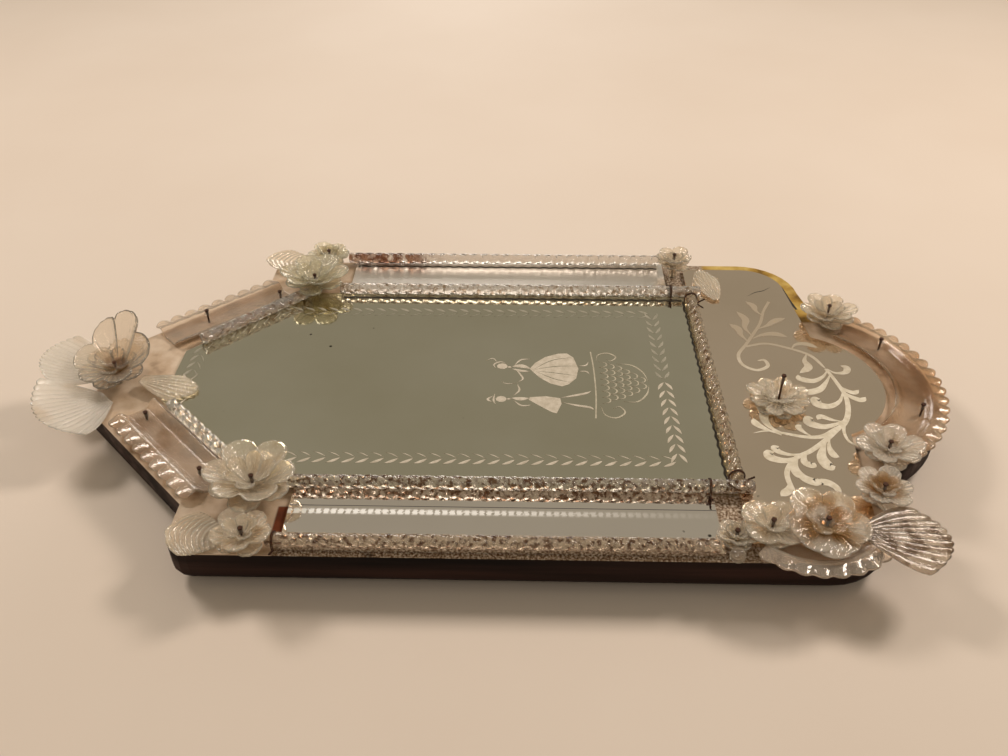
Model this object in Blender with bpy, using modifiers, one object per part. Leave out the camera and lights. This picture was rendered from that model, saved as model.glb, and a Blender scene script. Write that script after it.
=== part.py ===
"""A carved and pressed glass wall mirror on a wooden board, 0.79 m tall, in metres.

The pieces are modelled lying face up on an empty named face: x to the viewer's right, y up the wall and z out
of the mirror, with z = 0 on the front of the board. The empty stands them up, so that in the world the mirror
looks along -Y, Z is up, and the origin is on the board's back, high on its centre line."""
import math

import bmesh
import bpy
from mathutils import Matrix, Vector

# The gap between pieces that touch, and the walls of the glass
GAP = 0.0003
PLATE_THICK = 0.0035
PETAL_THICK = 0.0024
BAND_THICK = 0.0026

# The board: half its width, its depth, and its outline from the crown down
BOARD_HALF = 0.204
BOARD_DEPTH = 0.027
BOARD_TOP = 0.205
BOARD_CORNER_TOP = 0.092
BOARD_CORNER_ROUND = 0.018
BOARD_BACK_EASE = 0.005
CHAMFER_SUM = 0.213  # x + y along the middle of a slanted top band
BOARD_PAST_BAND = 0.024  # from the middle of that band out to the board's slanted edge
SHOULDER_ROUND = 0.052
SHOULDER_LEVEL = -0.389  # height of the shoulder arcs' centres
SHOULDER_FALL = 0.007  # how much lower the bottom edge is beside the lobe
LOBE_LEVEL = -0.405  # height of the lobe's centre
LOBE_BOARD = 0.1195  # radius of the board's lobe

# The plates, all cut to meet under the rods
RAIL_X = 0.138  # centre line of an inner rod
BAR_LEVEL = -0.330  # centre line of the cross bar
PLATE_JOINT = 0.001
MAIN_TOP = 0.142
MAIN_EDGE_PAST_ROD = 0.0015
BOARD_MARGIN = 0.004  # of the board outside a side strip
STRIP_OUTER = BOARD_HALF - BOARD_MARGIN
STRIP_TOP = 0.008
STRIP_BOTTOM = -0.310
LOWER_INSET = 0.014
LOWER_LOBE = 0.075

# The twisted rods
ROD_RADIUS = 0.0055
ROD_LEAD = 0.044
ROD_STEPS = 6  # for each full turn
ROD_INSIDE_STRIP = 0.002  # from a side strip's outer edge in to the middle of its rod
OUTER_ROD_X = STRIP_OUTER - ROD_INSIDE_STRIP
ROD_TOP = 0.016
INNER_ROD_BOTTOM = -0.341
OUTER_ROD_BOTTOM = -0.306
CHAMFER_ROD_IN = 0.026  # from the middle of the slanted band in to its rod
CHAMFER_ROD_LENGTH = 0.118

# The pressed bands, measured across from the middle line of each
BAND_INNER = 0.020
BAND_FLOOR_IN = 0.011
BAND_FLOOR_OUT = 0.004
BAND_RIM = 0.012
BAND_FRILL = 0.024
BAND_RIM_HEIGHT = 0.0085
FRILL_PITCH = 0.014  # along the outer edge
FRILL_DEPTH = 0.004
CHAMFER_BAND_LENGTH = 0.126
CHAMFER_BAND_SHIFT = -0.010  # of a slanted band's middle towards the crown, along x
RIGHT_BAND_SWING = 0.007  # how much further out the right band stands at the crown than at its other end
LOBE_BAND_RADIUS = 0.1015
LOBE_BAND_SWEEP = math.radians(108)
SHOULDER_BAND_CENTRE = (SHOULDER_ROUND - BOARD_HALF - 0.008, SHOULDER_LEVEL + 0.013)
SHOULDER_BAND_RADIUS = 0.0435
SHOULDER_BAND_FROM = math.radians(135)
SHOULDER_BAND_TO = math.radians(228)
SHOULDER_BAND_INNER = 0.009

# Pins
PIN_RADIUS = 0.0009
PIN_HEAD = 0.0021
PIN_HEAD_THICK = 0.0014
PIN_DEPTH = 0.014  # into the board
PIN_SIDES = 5

# The pins of each band: share of its length, distance out, how far the head stands above the floor
LEFT_SLANTED_PINS = ((0.11, -0.005, 0.005), (0.84, -0.003, 0.005))
RIGHT_SLANTED_PINS = ((0.34, 0.0015, 0.011), (0.92, -0.006, 0.006))
LOBE_PINS = ((0.28, 0.0015, 0.010), (0.79, 0.0015, 0.010))

# Heights over the board's front that the pieces share
PLATE_TOP = GAP + PLATE_THICK
ROD_HEIGHT = PLATE_TOP + GAP + ROD_RADIUS
THROAT_UNDER_ROD_TOP = 0.0016  # how little a flower beside a rod stands below the rod's top, so its petals pass over
BESIDE_ROD = ROD_HEIGHT + ROD_RADIUS - THROAT_UNDER_ROD_TOP
OVER_RIM = GAP + BAND_RIM_HEIGHT + BAND_THICK / 2 + 0.0024  # a throat whose petals pass over a band's rim


def beside(anchor, right, up):
    """The place this far to the right of an anchor and above it."""
    return anchor[0] + right, anchor[1] + up


# Where the flowers stand, their radius, the height of their throat, how far their rim rises above it, their petals
STEM_RADIUS = 0.0032
LEFT_RAIL_END, RIGHT_RAIL_END = (-RAIL_X, ROD_TOP), (RAIL_X, ROD_TOP)
LEFT_OUTER_END, RIGHT_OUTER_END = (-OUTER_ROD_X, ROD_TOP), (OUTER_ROD_X, ROD_TOP)
LEFT_OUTER_FOOT, RIGHT_OUTER_FOOT = (-OUTER_ROD_X, OUTER_ROD_BOTTOM), (OUTER_ROD_X, OUTER_ROD_BOTTOM)
LOBE_END_X = LOBE_BAND_RADIUS * math.sin(LOBE_BAND_SWEEP / 2)
LOBE_END_LEVEL = LOBE_LEVEL - LOBE_BAND_RADIUS * math.cos(LOBE_BAND_SWEEP / 2)
LEFT_LOBE_END, RIGHT_LOBE_END = (-LOBE_END_X, LOBE_END_LEVEL), (LOBE_END_X, LOBE_END_LEVEL)
FLOWERS = {
    "left_upper_inner_flower": (beside(LEFT_RAIL_END, -0.006, 0.0215), 0.0355, BESIDE_ROD, 0.0135, 6),
    "right_upper_inner_flower": (beside(RIGHT_RAIL_END, 0.0075, 0.026), 0.0330, BESIDE_ROD, 0.0135, 6),
    "left_upper_outer_flower": (beside(LEFT_OUTER_END, 0.0005, 0.0165), 0.0225, BESIDE_ROD, 0.0065, 5),
    "right_upper_outer_flower": (beside(RIGHT_OUTER_END, -0.004, 0.020), 0.0215, BESIDE_ROD, 0.0060, 5),
    "left_bar_bud": (beside(LEFT_OUTER_FOOT, 0.012, -0.0135), 0.0110, 0.0065, 0.0050, 4),
    "right_bar_flower": (beside(RIGHT_OUTER_FOOT, -0.016, -0.0135), 0.0185, BESIDE_ROD + 0.002, 0.011, 5),
    "left_shoulder_petals": (beside(SHOULDER_BAND_CENTRE, -0.0215, 0.031), 0.0240, OVER_RIM + 0.0005, 0.0045, 4),
    "left_shoulder_flower": (beside(SHOULDER_BAND_CENTRE, -0.0265, -0.005), 0.0300, OVER_RIM + 0.008, 0.004, 5),
    "left_lower_flower": (beside(SHOULDER_BAND_CENTRE, 0.0145, -0.0585), 0.0220, OVER_RIM + 0.002, 0.006, 6),
    "left_junction_flower": (beside(LEFT_LOBE_END, -0.0129, 0.0102), 0.0260, OVER_RIM, 0.0065, 6),
    "right_junction_flower": (beside(RIGHT_LOBE_END, 0.0119, 0.0102), 0.0260, OVER_RIM, 0.0095, 6),
    "lower_rosette": ((-0.029, BAR_LEVEL - 0.053), 0.0270, PLATE_TOP + 0.0042, 0.004, 8),
}
ON_LOWER_PLATE = ("left_shoulder_petals", "left_shoulder_flower", "lower_rosette")
RIM_LEAN = {"left_shoulder_flower": 0.005}  # how much the rim rises on its right side and falls on its left
PIN_ABOVE_THROAT = {"lower_rosette": 0.024, "right_bar_flower": 0.010, "right_junction_flower": 0.010}
PIN_PROUD = 0.006  # how far a pin's head stands above the throat elsewhere

TOP_FLOWER_AT = (-0.006, BOARD_TOP - 0.016)
TOP_FLOWER_RADIUS = 0.033
TOP_FLOWER_THROAT = 0.015
TOP_FLOWER_LOW = 0.022
TOP_FLOWER_HIGH = 0.056
TOP_FLOWER_LEAN = math.radians(-18)  # the side whose petals stand upright
TOP_FLOWER_PETALS = 7

# The leaves: root, reach from the root to the tip, full width, height at the root and at the tip, ribs
LEFT_LOWER = FLOWERS["left_lower_flower"][0]
LEFT_CORNER = FLOWERS["left_upper_outer_flower"][0]
RIGHT_CORNER = FLOWERS["right_upper_outer_flower"][0]
RIGHT_BAR = FLOWERS["right_bar_flower"][0]
LEAVES = {
    "top_left_fern": (beside(TOP_FLOWER_AT, -0.025, 0.001), (-0.045, 0.041), 0.072, 0.0015, 0.016, 7),
    "top_middle_fern": (beside(TOP_FLOWER_AT, 0.008, 0.011), (0.004, 0.060), 0.062, 0.0015, 0.018, 7),
    "left_lower_fern": (beside(LEFT_LOWER, -0.0445, 0.0275), (-0.002, -0.064), 0.062, 0.0166, 0.012, 7),
    "top_bud_petal": (beside(TOP_FLOWER_AT, -0.008, -0.023), (-0.011, -0.053), 0.034, 0.0095, 0.0058, 3),
    "left_corner_leaf": (beside(LEFT_CORNER, 0.0065, 0.0145), (0.0035, 0.045), 0.044, 0.0016, 0.0060, 5),
    "right_corner_leaf": (beside(RIGHT_CORNER, 0.0005, 0.0135), (0, 0.054), 0.044, 0.0016, 0.0090, 5),
    "right_shell_petal": (beside(RIGHT_BAR, -0.053, -0.0365), (0.052, 0.010), 0.027, 0.0060, 0.0085, 3),
}

BEAD_AT = beside(LEFT_OUTER_FOOT, -0.0055, -0.0115)
BEAD_RADIUS = 0.0058

# The hanging plate with its keyhole and two screws, let into the board's back above the origin
HANGER_ABOVE = 0.032
HANGER_WIDTH = 0.060
HANGER_HEIGHT = 0.026
HANGER_THICK = 0.002
HANGER_FIT = 0.0005
KEYHOLE_RADIUS = 0.0050
KEYHOLE_DROP = 0.003  # from the plate's middle down to the round end of the keyhole
KEYHOLE_SLOT_WIDTH = 0.0044
KEYHOLE_SLOT_TOP = 0.009
KEYHOLE_ROOM = 0.003  # room round the keyhole for the head of the screw in the wall
KEYHOLE_ROOM_DEPTH = 0.010
SCREW_SPREAD = 0.023
SCREW_RADIUS = 0.0014
SCREW_HEAD = 0.0032
SCREW_HEAD_THICK = 0.0008
SCREW_LENGTH = 0.012

SLANT = math.sqrt(0.5)
SHOULDER_X = BOARD_HALF - SHOULDER_ROUND

for old in list(bpy.data.objects):
    bpy.data.objects.remove(old)

pieces = bpy.data.collections.new("wall_mirror")
cutters = bpy.data.collections.new("cutters")
bpy.context.scene.collection.children.link(pieces)
bpy.context.scene.collection.children.link(cutters)

face = bpy.data.objects.new("face", None)
face.location = (0, -BOARD_DEPTH, 0)
face.rotation_euler = (math.radians(90), 0, 0)
pieces.objects.link(face)


def finish(name, colour, roughness, metallic=0.0, transmission=0.0):
    material = bpy.data.materials.new(name)
    material.use_nodes = True
    shader = material.node_tree.nodes["Principled BSDF"]
    shader.inputs["Base Color"].default_value = (*colour, 1)
    shader.inputs["Roughness"].default_value = roughness
    shader.inputs["Metallic"].default_value = metallic
    shader.inputs["Transmission Weight"].default_value = transmission
    return material


WOOD = finish("stained softwood", (0.045, 0.018, 0.010), 0.6)
SILVERED = finish("silvered plate glass", (0.55, 0.55, 0.50), 0.04, 1.0)
CLEAR = finish("clear glass", (0.93, 0.93, 0.90), 0.05, 0.0, 1.0)
IRON = finish("rusty iron", (0.12, 0.05, 0.02), 0.7, 0.6)
STEEL = finish("zinc plated steel", (0.45, 0.44, 0.42), 0.4, 1.0)


def add(name, mesh, material):
    """Puts a finished mesh on the face, as the piece of that name."""
    piece = bpy.data.objects.new(name, mesh)
    mesh.materials.clear()
    mesh.materials.append(material)
    pieces.objects.link(piece)
    piece.parent = face
    return piece


def mesh_of(bm, name):
    mesh = bpy.data.meshes.new(name)
    bm.to_mesh(mesh)
    bm.free()
    return mesh


def arc(centre, radius, start, end, steps):
    """Points of an arc, both ends included, with its angles in degrees."""
    return [
        (centre[0] + radius * math.cos(a), centre[1] + radius * math.sin(a))
        for a in (math.radians(start + (end - start) * k / steps) for k in range(steps + 1))
    ]


def mirrored(half):
    """A closed outline from its right half, which runs from the top of the centre line to its foot."""
    return half + [(-x, y) for x, y in reversed(half) if x > 1e-6]


def flat_outline(name, points, bottom, thick, material):
    """A plate of this outline, as a filled curve made a mesh."""
    curve = bpy.data.curves.new(name, "CURVE")
    curve.dimensions = "2D"
    curve.fill_mode = "BOTH"
    curve.extrude = thick / 2
    spline = curve.splines.new("POLY")
    spline.points.add(len(points) - 1)
    for point, (x, y) in zip(spline.points, points):
        point.co = (x, y, 0, 1)
    spline.use_cyclic_u = True
    guide = bpy.data.objects.new(name + "_outline", curve)
    cutters.objects.link(guide)
    graph = bpy.context.evaluated_depsgraph_get()
    mesh = bpy.data.meshes.new_from_object(guide.evaluated_get(graph))
    bpy.data.objects.remove(guide)
    bm = bmesh.new()
    bm.from_mesh(mesh)
    bmesh.ops.remove_doubles(bm, verts=bm.verts, dist=1e-6)
    bmesh.ops.dissolve_limit(bm, angle_limit=math.radians(1), verts=bm.verts, edges=bm.edges)
    bmesh.ops.translate(bm, verts=bm.verts, vec=(0, 0, bottom + thick / 2))
    bmesh.ops.recalc_face_normals(bm, faces=bm.faces)
    bm.to_mesh(mesh)
    bm.free()
    return add(name, mesh, material)


def cut(piece, cutter):
    """Takes a cutter out of a piece."""
    modifier = piece.modifiers.new("cut", "BOOLEAN")
    modifier.operation = "DIFFERENCE"
    modifier.solver = "EXACT"
    modifier.object = cutter


def drill(name, spots, radius, bottom, top, sides=PIN_SIDES):
    """A cutter with one drill for each spot, on the face."""
    bm = bmesh.new()
    for x, y in spots:
        middle = Matrix.Translation((x, y, (bottom + top) / 2))
        bmesh.ops.create_cone(
            bm, cap_ends=True, segments=sides, radius1=radius, radius2=radius, depth=top - bottom, matrix=middle
        )
    return as_cutter(name, bm)


def block(bm, left, right, low, high, bottom, top):
    """Adds a box between these sides, on the face."""
    size = Matrix.Diagonal((right - left, high - low, top - bottom, 1))
    middle = Matrix.Translation(((left + right) / 2, (low + high) / 2, (bottom + top) / 2))
    bmesh.ops.create_cube(bm, size=1, matrix=middle @ size)


def as_cutter(name, bm):
    cutter = bpy.data.objects.new(name, mesh_of(bm, name))
    cutter.hide_render = True
    cutter.display_type = "WIRE"
    cutter.parent = face
    cutters.objects.link(cutter)
    return cutter


def grow(bm, cap, is_foot):
    """Extrudes a prism's cap. Returns the new ring and the new cap; the old cap stays only where it is the foot."""
    grown = bmesh.ops.extrude_face_region(bm, geom=[cap])["geom"]
    ring = [v for v in grown if isinstance(v, bmesh.types.BMVert)]
    (new_cap,) = [f for f in grown if isinstance(f, bmesh.types.BMFace)]
    if not is_foot:
        bmesh.ops.delete(bm, geom=[cap], context="FACES_ONLY")
    return ring, new_cap


def turned_steps(radius, height, steps, place, sides=PIN_SIDES):
    """A stack of prisms as a mesh: it starts at z = height, and each step is (next radius, next height)."""
    bm = bmesh.new()
    bmesh.ops.create_circle(bm, cap_ends=True, segments=sides, radius=radius)
    bmesh.ops.translate(bm, verts=bm.verts, vec=(0, 0, height))
    bm.faces.ensure_lookup_table()
    cap = bm.faces[0]
    for k, (next_radius, next_height) in enumerate(steps):
        ring, cap = grow(bm, cap, k == 0)
        growth = next_radius / radius
        bmesh.ops.scale(bm, verts=ring, vec=(growth, growth, 1))
        bmesh.ops.translate(bm, verts=ring, vec=(0, 0, next_height - height))
        radius, height = next_radius, next_height
    bmesh.ops.transform(bm, verts=bm.verts, matrix=place)
    bmesh.ops.recalc_face_normals(bm, faces=bm.faces)
    return bm


def pin(name, spot, head_height):
    """An iron pin from inside the board to a flat head."""
    steps = [
        (PIN_RADIUS, head_height),
        (PIN_HEAD, head_height),
        (PIN_HEAD, head_height + PIN_HEAD_THICK),
    ]
    bm = turned_steps(PIN_RADIUS, GAP - PIN_DEPTH, steps, Matrix.Translation((*spot, 0)))
    return add(name, mesh_of(bm, name), IRON)


def twisted_rod(name, start, end):
    """A square glass rod, twisted along its length and laid on the plates."""
    start, end = Vector((*start, ROD_HEIGHT)), Vector((*end, ROD_HEIGHT))
    length = (end - start).length
    count = round(length / ROD_LEAD * ROD_STEPS)
    turn = Matrix.Rotation(math.tau / ROD_STEPS, 3, "Z")
    bm = bmesh.new()
    bmesh.ops.create_circle(bm, cap_ends=True, segments=4, radius=ROD_RADIUS)
    bm.faces.ensure_lookup_table()
    cap = bm.faces[0]
    for k in range(count):
        ring, cap = grow(bm, cap, k == 0)
        bmesh.ops.rotate(bm, verts=ring, cent=(0, 0, 0), matrix=turn)
        bmesh.ops.translate(bm, verts=ring, vec=(0, 0, length / count))
    lay = (end - start).to_track_quat("Z", "Y").to_matrix().to_4x4()
    bmesh.ops.transform(bm, verts=bm.verts, matrix=Matrix.Translation(start) @ lay)
    bmesh.ops.recalc_face_normals(bm, faces=bm.faces)
    return add(name, mesh_of(bm, name), CLEAR)


def sheet(name, across, along, shape, thick, material, closed=False):
    """A sheet of glass: a grid whose points shape(u, v) places, with u and v from 0 to 1, given its thickness.
    A closed one meets itself where u is 0 and 1."""
    bm = bmesh.new()
    bmesh.ops.create_grid(bm, x_segments=across, y_segments=along, size=0.5)
    for vert in bm.verts:
        vert.co = shape(vert.co.x + 0.5, vert.co.y + 0.5)
    if closed:
        bmesh.ops.remove_doubles(bm, verts=bm.verts, dist=1e-6)
    piece = add(name, mesh_of(bm, name), material)
    wall = piece.modifiers.new("glass thickness", "SOLIDIFY")
    wall.thickness = thick
    wall.offset = 0
    return piece


def flower(name, spot, radius, foot, throat, rim, petals):
    """A blown flower on a hollow stem, its petals parted by notches. rim gives the height at an angle."""

    def shape(u, v):
        angle = math.tau * u
        lobe = abs(math.sin(petals * angle / 2))
        row = round(v * 3)
        cup, edge = radius * (0.42 + 0.10 * lobe), radius * (0.70 + 0.34 * lobe)
        reach = (STEM_RADIUS, STEM_RADIUS * 1.15, cup, edge)[row]
        top = rim(angle)
        height = (foot, throat - 0.0015, throat + (top - throat) * 0.3, top - (1 - lobe) * 0.004)[row]
        return Vector((spot[0] + reach * math.cos(angle), spot[1] + reach * math.sin(angle), height))

    return sheet(name, petals * 3, 3, shape, PETAL_THICK, CLEAR, closed=True)


def leaf(name, root, reach, width, root_height, tip_height, ribs):
    """A fan of ribbed glass from a narrow root to a round edge."""
    root, way = Vector(root), Vector(reach)
    side = Vector((-way.y, way.x)).normalized()

    def shape(u, v):
        spread = (0.24 + 0.76 * math.sin(math.radians(90 * v))) * width / 2
        across = (u - 0.5) * 2
        round_tip = 1 - 0.36 * across * across
        flat = root + way * v * round_tip + side * spread * across
        rib = 0.0007 * (-1) ** round(u * ribs)
        height = root_height + (tip_height - root_height) * v + rib * min(1, 2 * v)
        return Vector((flat.x, flat.y, height))

    return sheet(name, ribs, 5, shape, PETAL_THICK * 0.8, CLEAR)


def band(name, edge_length, path, lift, has_inner_rim=True):
    """A pressed glass gutter with a crimped outer edge of this length. path(s, out) gives the point at a share s
    along it and a distance out from its middle line. Without the inner rim it is a shelf that starts at its floor."""
    scallops = round(edge_length / FRILL_PITCH)
    floor = lift + GAP + BAND_THICK / 2
    inner = [(-BAND_INNER, lift + BAND_RIM_HEIGHT), (-BAND_FLOOR_IN, floor)]
    outer = [
        (BAND_FLOOR_OUT, floor),
        (BAND_RIM, lift + BAND_RIM_HEIGHT),
        (BAND_FRILL, lift + BAND_RIM_HEIGHT * 0.7),
    ]
    rows = (inner if has_inner_rim else [(-SHOULDER_BAND_INNER, floor)]) + outer

    def shape(u, v):
        out, height = rows[round(v * (len(rows) - 1))]
        if out == BAND_FRILL:
            wave = math.cos(math.tau * scallops * u)
            out += FRILL_DEPTH * (wave - 1) / 2
            height += FRILL_DEPTH * wave / 4
        x, y = path(u, out)
        return Vector((x, y, height))

    return sheet(name, scallops * 2, len(rows) - 1, shape, BAND_THICK, CLEAR)


def slanted(side, swing):
    """The path of a slanted top band, on the side whose sign this is. Its crown end stands out by the swing."""

    def path(s, out):
        along = (s - 0.5) * CHAMFER_BAND_LENGTH
        past = out + swing * (1 - s)
        x = CHAMFER_SUM / 2 + CHAMFER_BAND_SHIFT + (along + past) * SLANT
        y = CHAMFER_SUM / 2 - CHAMFER_BAND_SHIFT + (past - along) * SLANT
        return side * x, y

    return path


def round_path(centre, radius, start, end):
    """The path of a band bent round a centre, from one angle to another."""

    def path(s, out):
        angle = start + (end - start) * s
        reach = radius + out
        return centre[0] + reach * math.cos(angle), centre[1] + reach * math.sin(angle)

    return path


# The board's outline, right half, from the crown down
slant_out = CHAMFER_SUM + BOARD_PAST_BAND / SLANT
shoulder_foot = SHOULDER_LEVEL - SHOULDER_ROUND
beside_lobe = shoulder_foot - SHOULDER_FALL
lobe_meets = math.asin((beside_lobe - LOBE_LEVEL) / LOBE_BOARD)
corner_round = (BOARD_HALF - BOARD_CORNER_ROUND, BOARD_CORNER_TOP - BOARD_CORNER_ROUND)
board_half = (
    [(slant_out - BOARD_TOP, BOARD_TOP), (slant_out - BOARD_CORNER_TOP, BOARD_CORNER_TOP)]
    + arc(corner_round, BOARD_CORNER_ROUND, 90, 0, 4)
    + arc((SHOULDER_X, SHOULDER_LEVEL), SHOULDER_ROUND, 0, -90, 8)
    + arc((0, LOBE_LEVEL), LOBE_BOARD, math.degrees(lobe_meets), -90, 12)
)
board = flat_outline("backing_board", mirrored(board_half), -BOARD_DEPTH, BOARD_DEPTH, WOOD)
bm = bmesh.new()
bm.from_mesh(board.data)
back_edges = [
    e for e in bm.edges if all(v.co.z < -BOARD_DEPTH + 1e-5 for v in e.verts) and len(e.link_faces) == 2
]
bmesh.ops.bevel(
    bm, geom=back_edges, offset=BOARD_BACK_EASE, segments=2, profile=0.5, affect="EDGES", material=-1
)
bm.to_mesh(board.data)
bm.free()

# The plates
main_sum = CHAMFER_SUM - (CHAMFER_ROD_IN - MAIN_EDGE_PAST_ROD) / SLANT
main_half = RAIL_X - PLATE_JOINT / 2
joint_above = BAR_LEVEL + PLATE_JOINT / 2
joint_below = BAR_LEVEL - PLATE_JOINT / 2
main_outline = mirrored(
    [(main_sum - MAIN_TOP, MAIN_TOP), (main_half, main_sum - main_half), (main_half, joint_above)]
)
main_plate = flat_outline("main_mirror_plate", main_outline, GAP, PLATE_THICK, SILVERED)
for side, sign in (("left", -1), ("right", 1)):
    inner, outer = sign * (RAIL_X + PLATE_JOINT / 2), sign * STRIP_OUTER
    strip = [(inner, STRIP_TOP), (outer, STRIP_TOP), (outer, STRIP_BOTTOM), (inner, STRIP_BOTTOM)]
    flat_outline(side + "_side_strip", strip, GAP, PLATE_THICK, SILVERED)
lower_round = SHOULDER_ROUND - LOWER_INSET
lower_foot = SHOULDER_LEVEL - lower_round
lower_meets = math.asin((lower_foot - SHOULDER_FALL - LOBE_LEVEL) / LOWER_LOBE)
lower_half = (
    [(SHOULDER_X + lower_round, joint_below)]
    + arc((SHOULDER_X, SHOULDER_LEVEL), lower_round, 0, -90, 8)
    + arc((0, LOBE_LEVEL), LOWER_LOBE, math.degrees(lower_meets), -90, 8)
)
lower_plate = flat_outline("lower_mirror_plate", mirrored(lower_half), GAP, PLATE_THICK, SILVERED)

# The twisted rods
for side, sign in (("left", -1), ("right", 1)):
    rail, outer = sign * RAIL_X, sign * OUTER_ROD_X
    twisted_rod(side + "_inner_rod", (rail, INNER_ROD_BOTTOM), (rail, ROD_TOP))
    twisted_rod(side + "_outer_rod", (outer, OUTER_ROD_BOTTOM), (outer, ROD_TOP))
    middle = (CHAMFER_SUM - CHAMFER_ROD_IN / SLANT) / 2
    half = CHAMFER_ROD_LENGTH / 2 * SLANT
    low = (sign * (middle + half), middle - half)
    high = (sign * (middle - half), middle + half)
    twisted_rod(side + "_slanted_rod", low, high)
bar_half = RAIL_X - ROD_RADIUS - GAP
twisted_rod("cross_bar_rod", (-bar_half, BAR_LEVEL), (bar_half, BAR_LEVEL))

# The pressed bands
pinned = {}
for side, path, pins in (
    ("left", slanted(-1, 0), LEFT_SLANTED_PINS),
    ("right", slanted(1, RIGHT_BAND_SWING), RIGHT_SLANTED_PINS),
):
    slanted_band = band(side + "_slanted_band", CHAMFER_BAND_LENGTH, path, 0)
    pinned[slanted_band] = [(path(share, out), proud) for share, out, proud in pins]
lobe_start = -math.pi / 2 - LOBE_BAND_SWEEP / 2
lobe_path = round_path((0, LOBE_LEVEL), LOBE_BAND_RADIUS, lobe_start, lobe_start + LOBE_BAND_SWEEP)
lobe_band = band("lobe_band", (LOBE_BAND_RADIUS + BAND_FRILL) * LOBE_BAND_SWEEP, lobe_path, 0)
pinned[lobe_band] = [(lobe_path(share, out), proud) for share, out, proud in LOBE_PINS]
shoulder_path = round_path(SHOULDER_BAND_CENTRE, SHOULDER_BAND_RADIUS, SHOULDER_BAND_FROM, SHOULDER_BAND_TO)
shoulder_length = (SHOULDER_BAND_RADIUS + BAND_FRILL) * (SHOULDER_BAND_TO - SHOULDER_BAND_FROM)
band("left_shoulder_band", shoulder_length, shoulder_path, PLATE_TOP, has_inner_rim=False)

# The pins through the bands
pin_spots = []
for piece, places in pinned.items():
    spots = [spot for spot, proud in places]
    cut(piece, drill(piece.name + "_drills", spots, PIN_RADIUS + GAP, 0, BAND_RIM_HEIGHT))
    for number, (spot, proud) in enumerate(places, 1):
        pin(f"{piece.name}_pin_{number}", spot, GAP + BAND_THICK + GAP + proud)
    pin_spots += spots


def leaning_rim(middle, lean):
    """The height of a rim that rises towards the right and falls towards the left by the lean."""
    return lambda angle: middle + lean * math.cos(angle)


# The flowers, each with its pin
plate_spots = []
for name, (spot, radius, throat, flare, petals) in FLOWERS.items():
    on_plate = name in ON_LOWER_PLATE
    foot = PLATE_TOP + GAP if on_plate else GAP
    flower(name, spot, radius, foot, throat, leaning_rim(throat + flare, RIM_LEAN.get(name, 0)), petals)
    pin(name + "_pin", spot, throat + PIN_ABOVE_THROAT.get(name, PIN_PROUD))
    pin_spots.append(spot)
    if on_plate:
        plate_spots.append(spot)
cut(lower_plate, drill("lower_plate_drills", plate_spots, PIN_RADIUS + GAP, -GAP, PLATE_TOP + GAP))


def crown_rim(angle):
    """The height of the crown flower's petals: they stand upright on the side that it leans to."""
    upright = (0.5 + 0.5 * math.cos(angle - TOP_FLOWER_LEAN)) ** 2
    return TOP_FLOWER_LOW + (TOP_FLOWER_HIGH - TOP_FLOWER_LOW) * upright


flower("top_flower", TOP_FLOWER_AT, TOP_FLOWER_RADIUS, GAP, TOP_FLOWER_THROAT, crown_rim, TOP_FLOWER_PETALS)
pin("top_flower_pin", TOP_FLOWER_AT, TOP_FLOWER_THROAT + PIN_PROUD)
pin_spots.append(TOP_FLOWER_AT)

# The leaves
for name, settings in LEAVES.items():
    leaf(name, *settings)

# The clear bead on the board's edge by the left shoulder
bm = bmesh.new()
bead_middle = Matrix.Translation((*BEAD_AT, GAP + BEAD_RADIUS))
bmesh.ops.create_uvsphere(bm, u_segments=10, v_segments=6, radius=BEAD_RADIUS, matrix=bead_middle)
add("left_bead", mesh_of(bm, "left_bead"), CLEAR)

# The board's holes for the pins
cut(board, drill("board_drills", pin_spots, PIN_RADIUS + GAP, -PIN_DEPTH - GAP, GAP))

# The hanging plate in its pocket, with room behind the keyhole
back = -BOARD_DEPTH
pocket_floor = back + HANGER_THICK + GAP
half_width = HANGER_WIDTH / 2
low, high = HANGER_ABOVE - HANGER_HEIGHT / 2, HANGER_ABOVE + HANGER_HEIGHT / 2
keyhole = (0, HANGER_ABOVE - KEYHOLE_DROP)
slot_top = keyhole[1] + KEYHOLE_SLOT_TOP
screw_spots = [(-SCREW_SPREAD, HANGER_ABOVE), (SCREW_SPREAD, HANGER_ABOVE)]

bm = bmesh.new()
block(
    bm,
    -half_width - HANGER_FIT,
    half_width + HANGER_FIT,
    low - HANGER_FIT,
    high + HANGER_FIT,
    back - GAP,
    pocket_floor,
)
cut(board, as_cutter("hanger_pocket", bm))
bm = bmesh.new()
room = KEYHOLE_RADIUS + KEYHOLE_ROOM
block(bm, -room, room, keyhole[1] - room, slot_top + KEYHOLE_ROOM, back, back + KEYHOLE_ROOM_DEPTH)
cut(board, as_cutter("keyhole_room", bm))
cut(board, drill("hanger_screw_drills", screw_spots, SCREW_RADIUS + GAP, back, back + SCREW_LENGTH + GAP, 8))

bm = bmesh.new()
block(bm, -half_width, half_width, low, high, back, back + HANGER_THICK)
hanger = add("hanging_plate", mesh_of(bm, "hanging_plate"), STEEL)
plate_bottom, plate_top = back - GAP, back + HANGER_THICK + GAP
cut(hanger, drill("keyhole_round", [keyhole], KEYHOLE_RADIUS, plate_bottom, plate_top, 16))
bm = bmesh.new()
slot_half = KEYHOLE_SLOT_WIDTH / 2
block(bm, -slot_half, slot_half, keyhole[1], slot_top, plate_bottom, plate_top)
cut(hanger, as_cutter("keyhole_slot", bm))
cut(hanger, drill("hanger_screw_holes", screw_spots, SCREW_RADIUS + GAP, plate_bottom, plate_top, 8))
counterbore = back + SCREW_HEAD_THICK + GAP
cut(hanger, drill("hanger_counterbores", screw_spots, SCREW_HEAD + GAP, plate_bottom, counterbore, 8))

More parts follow.
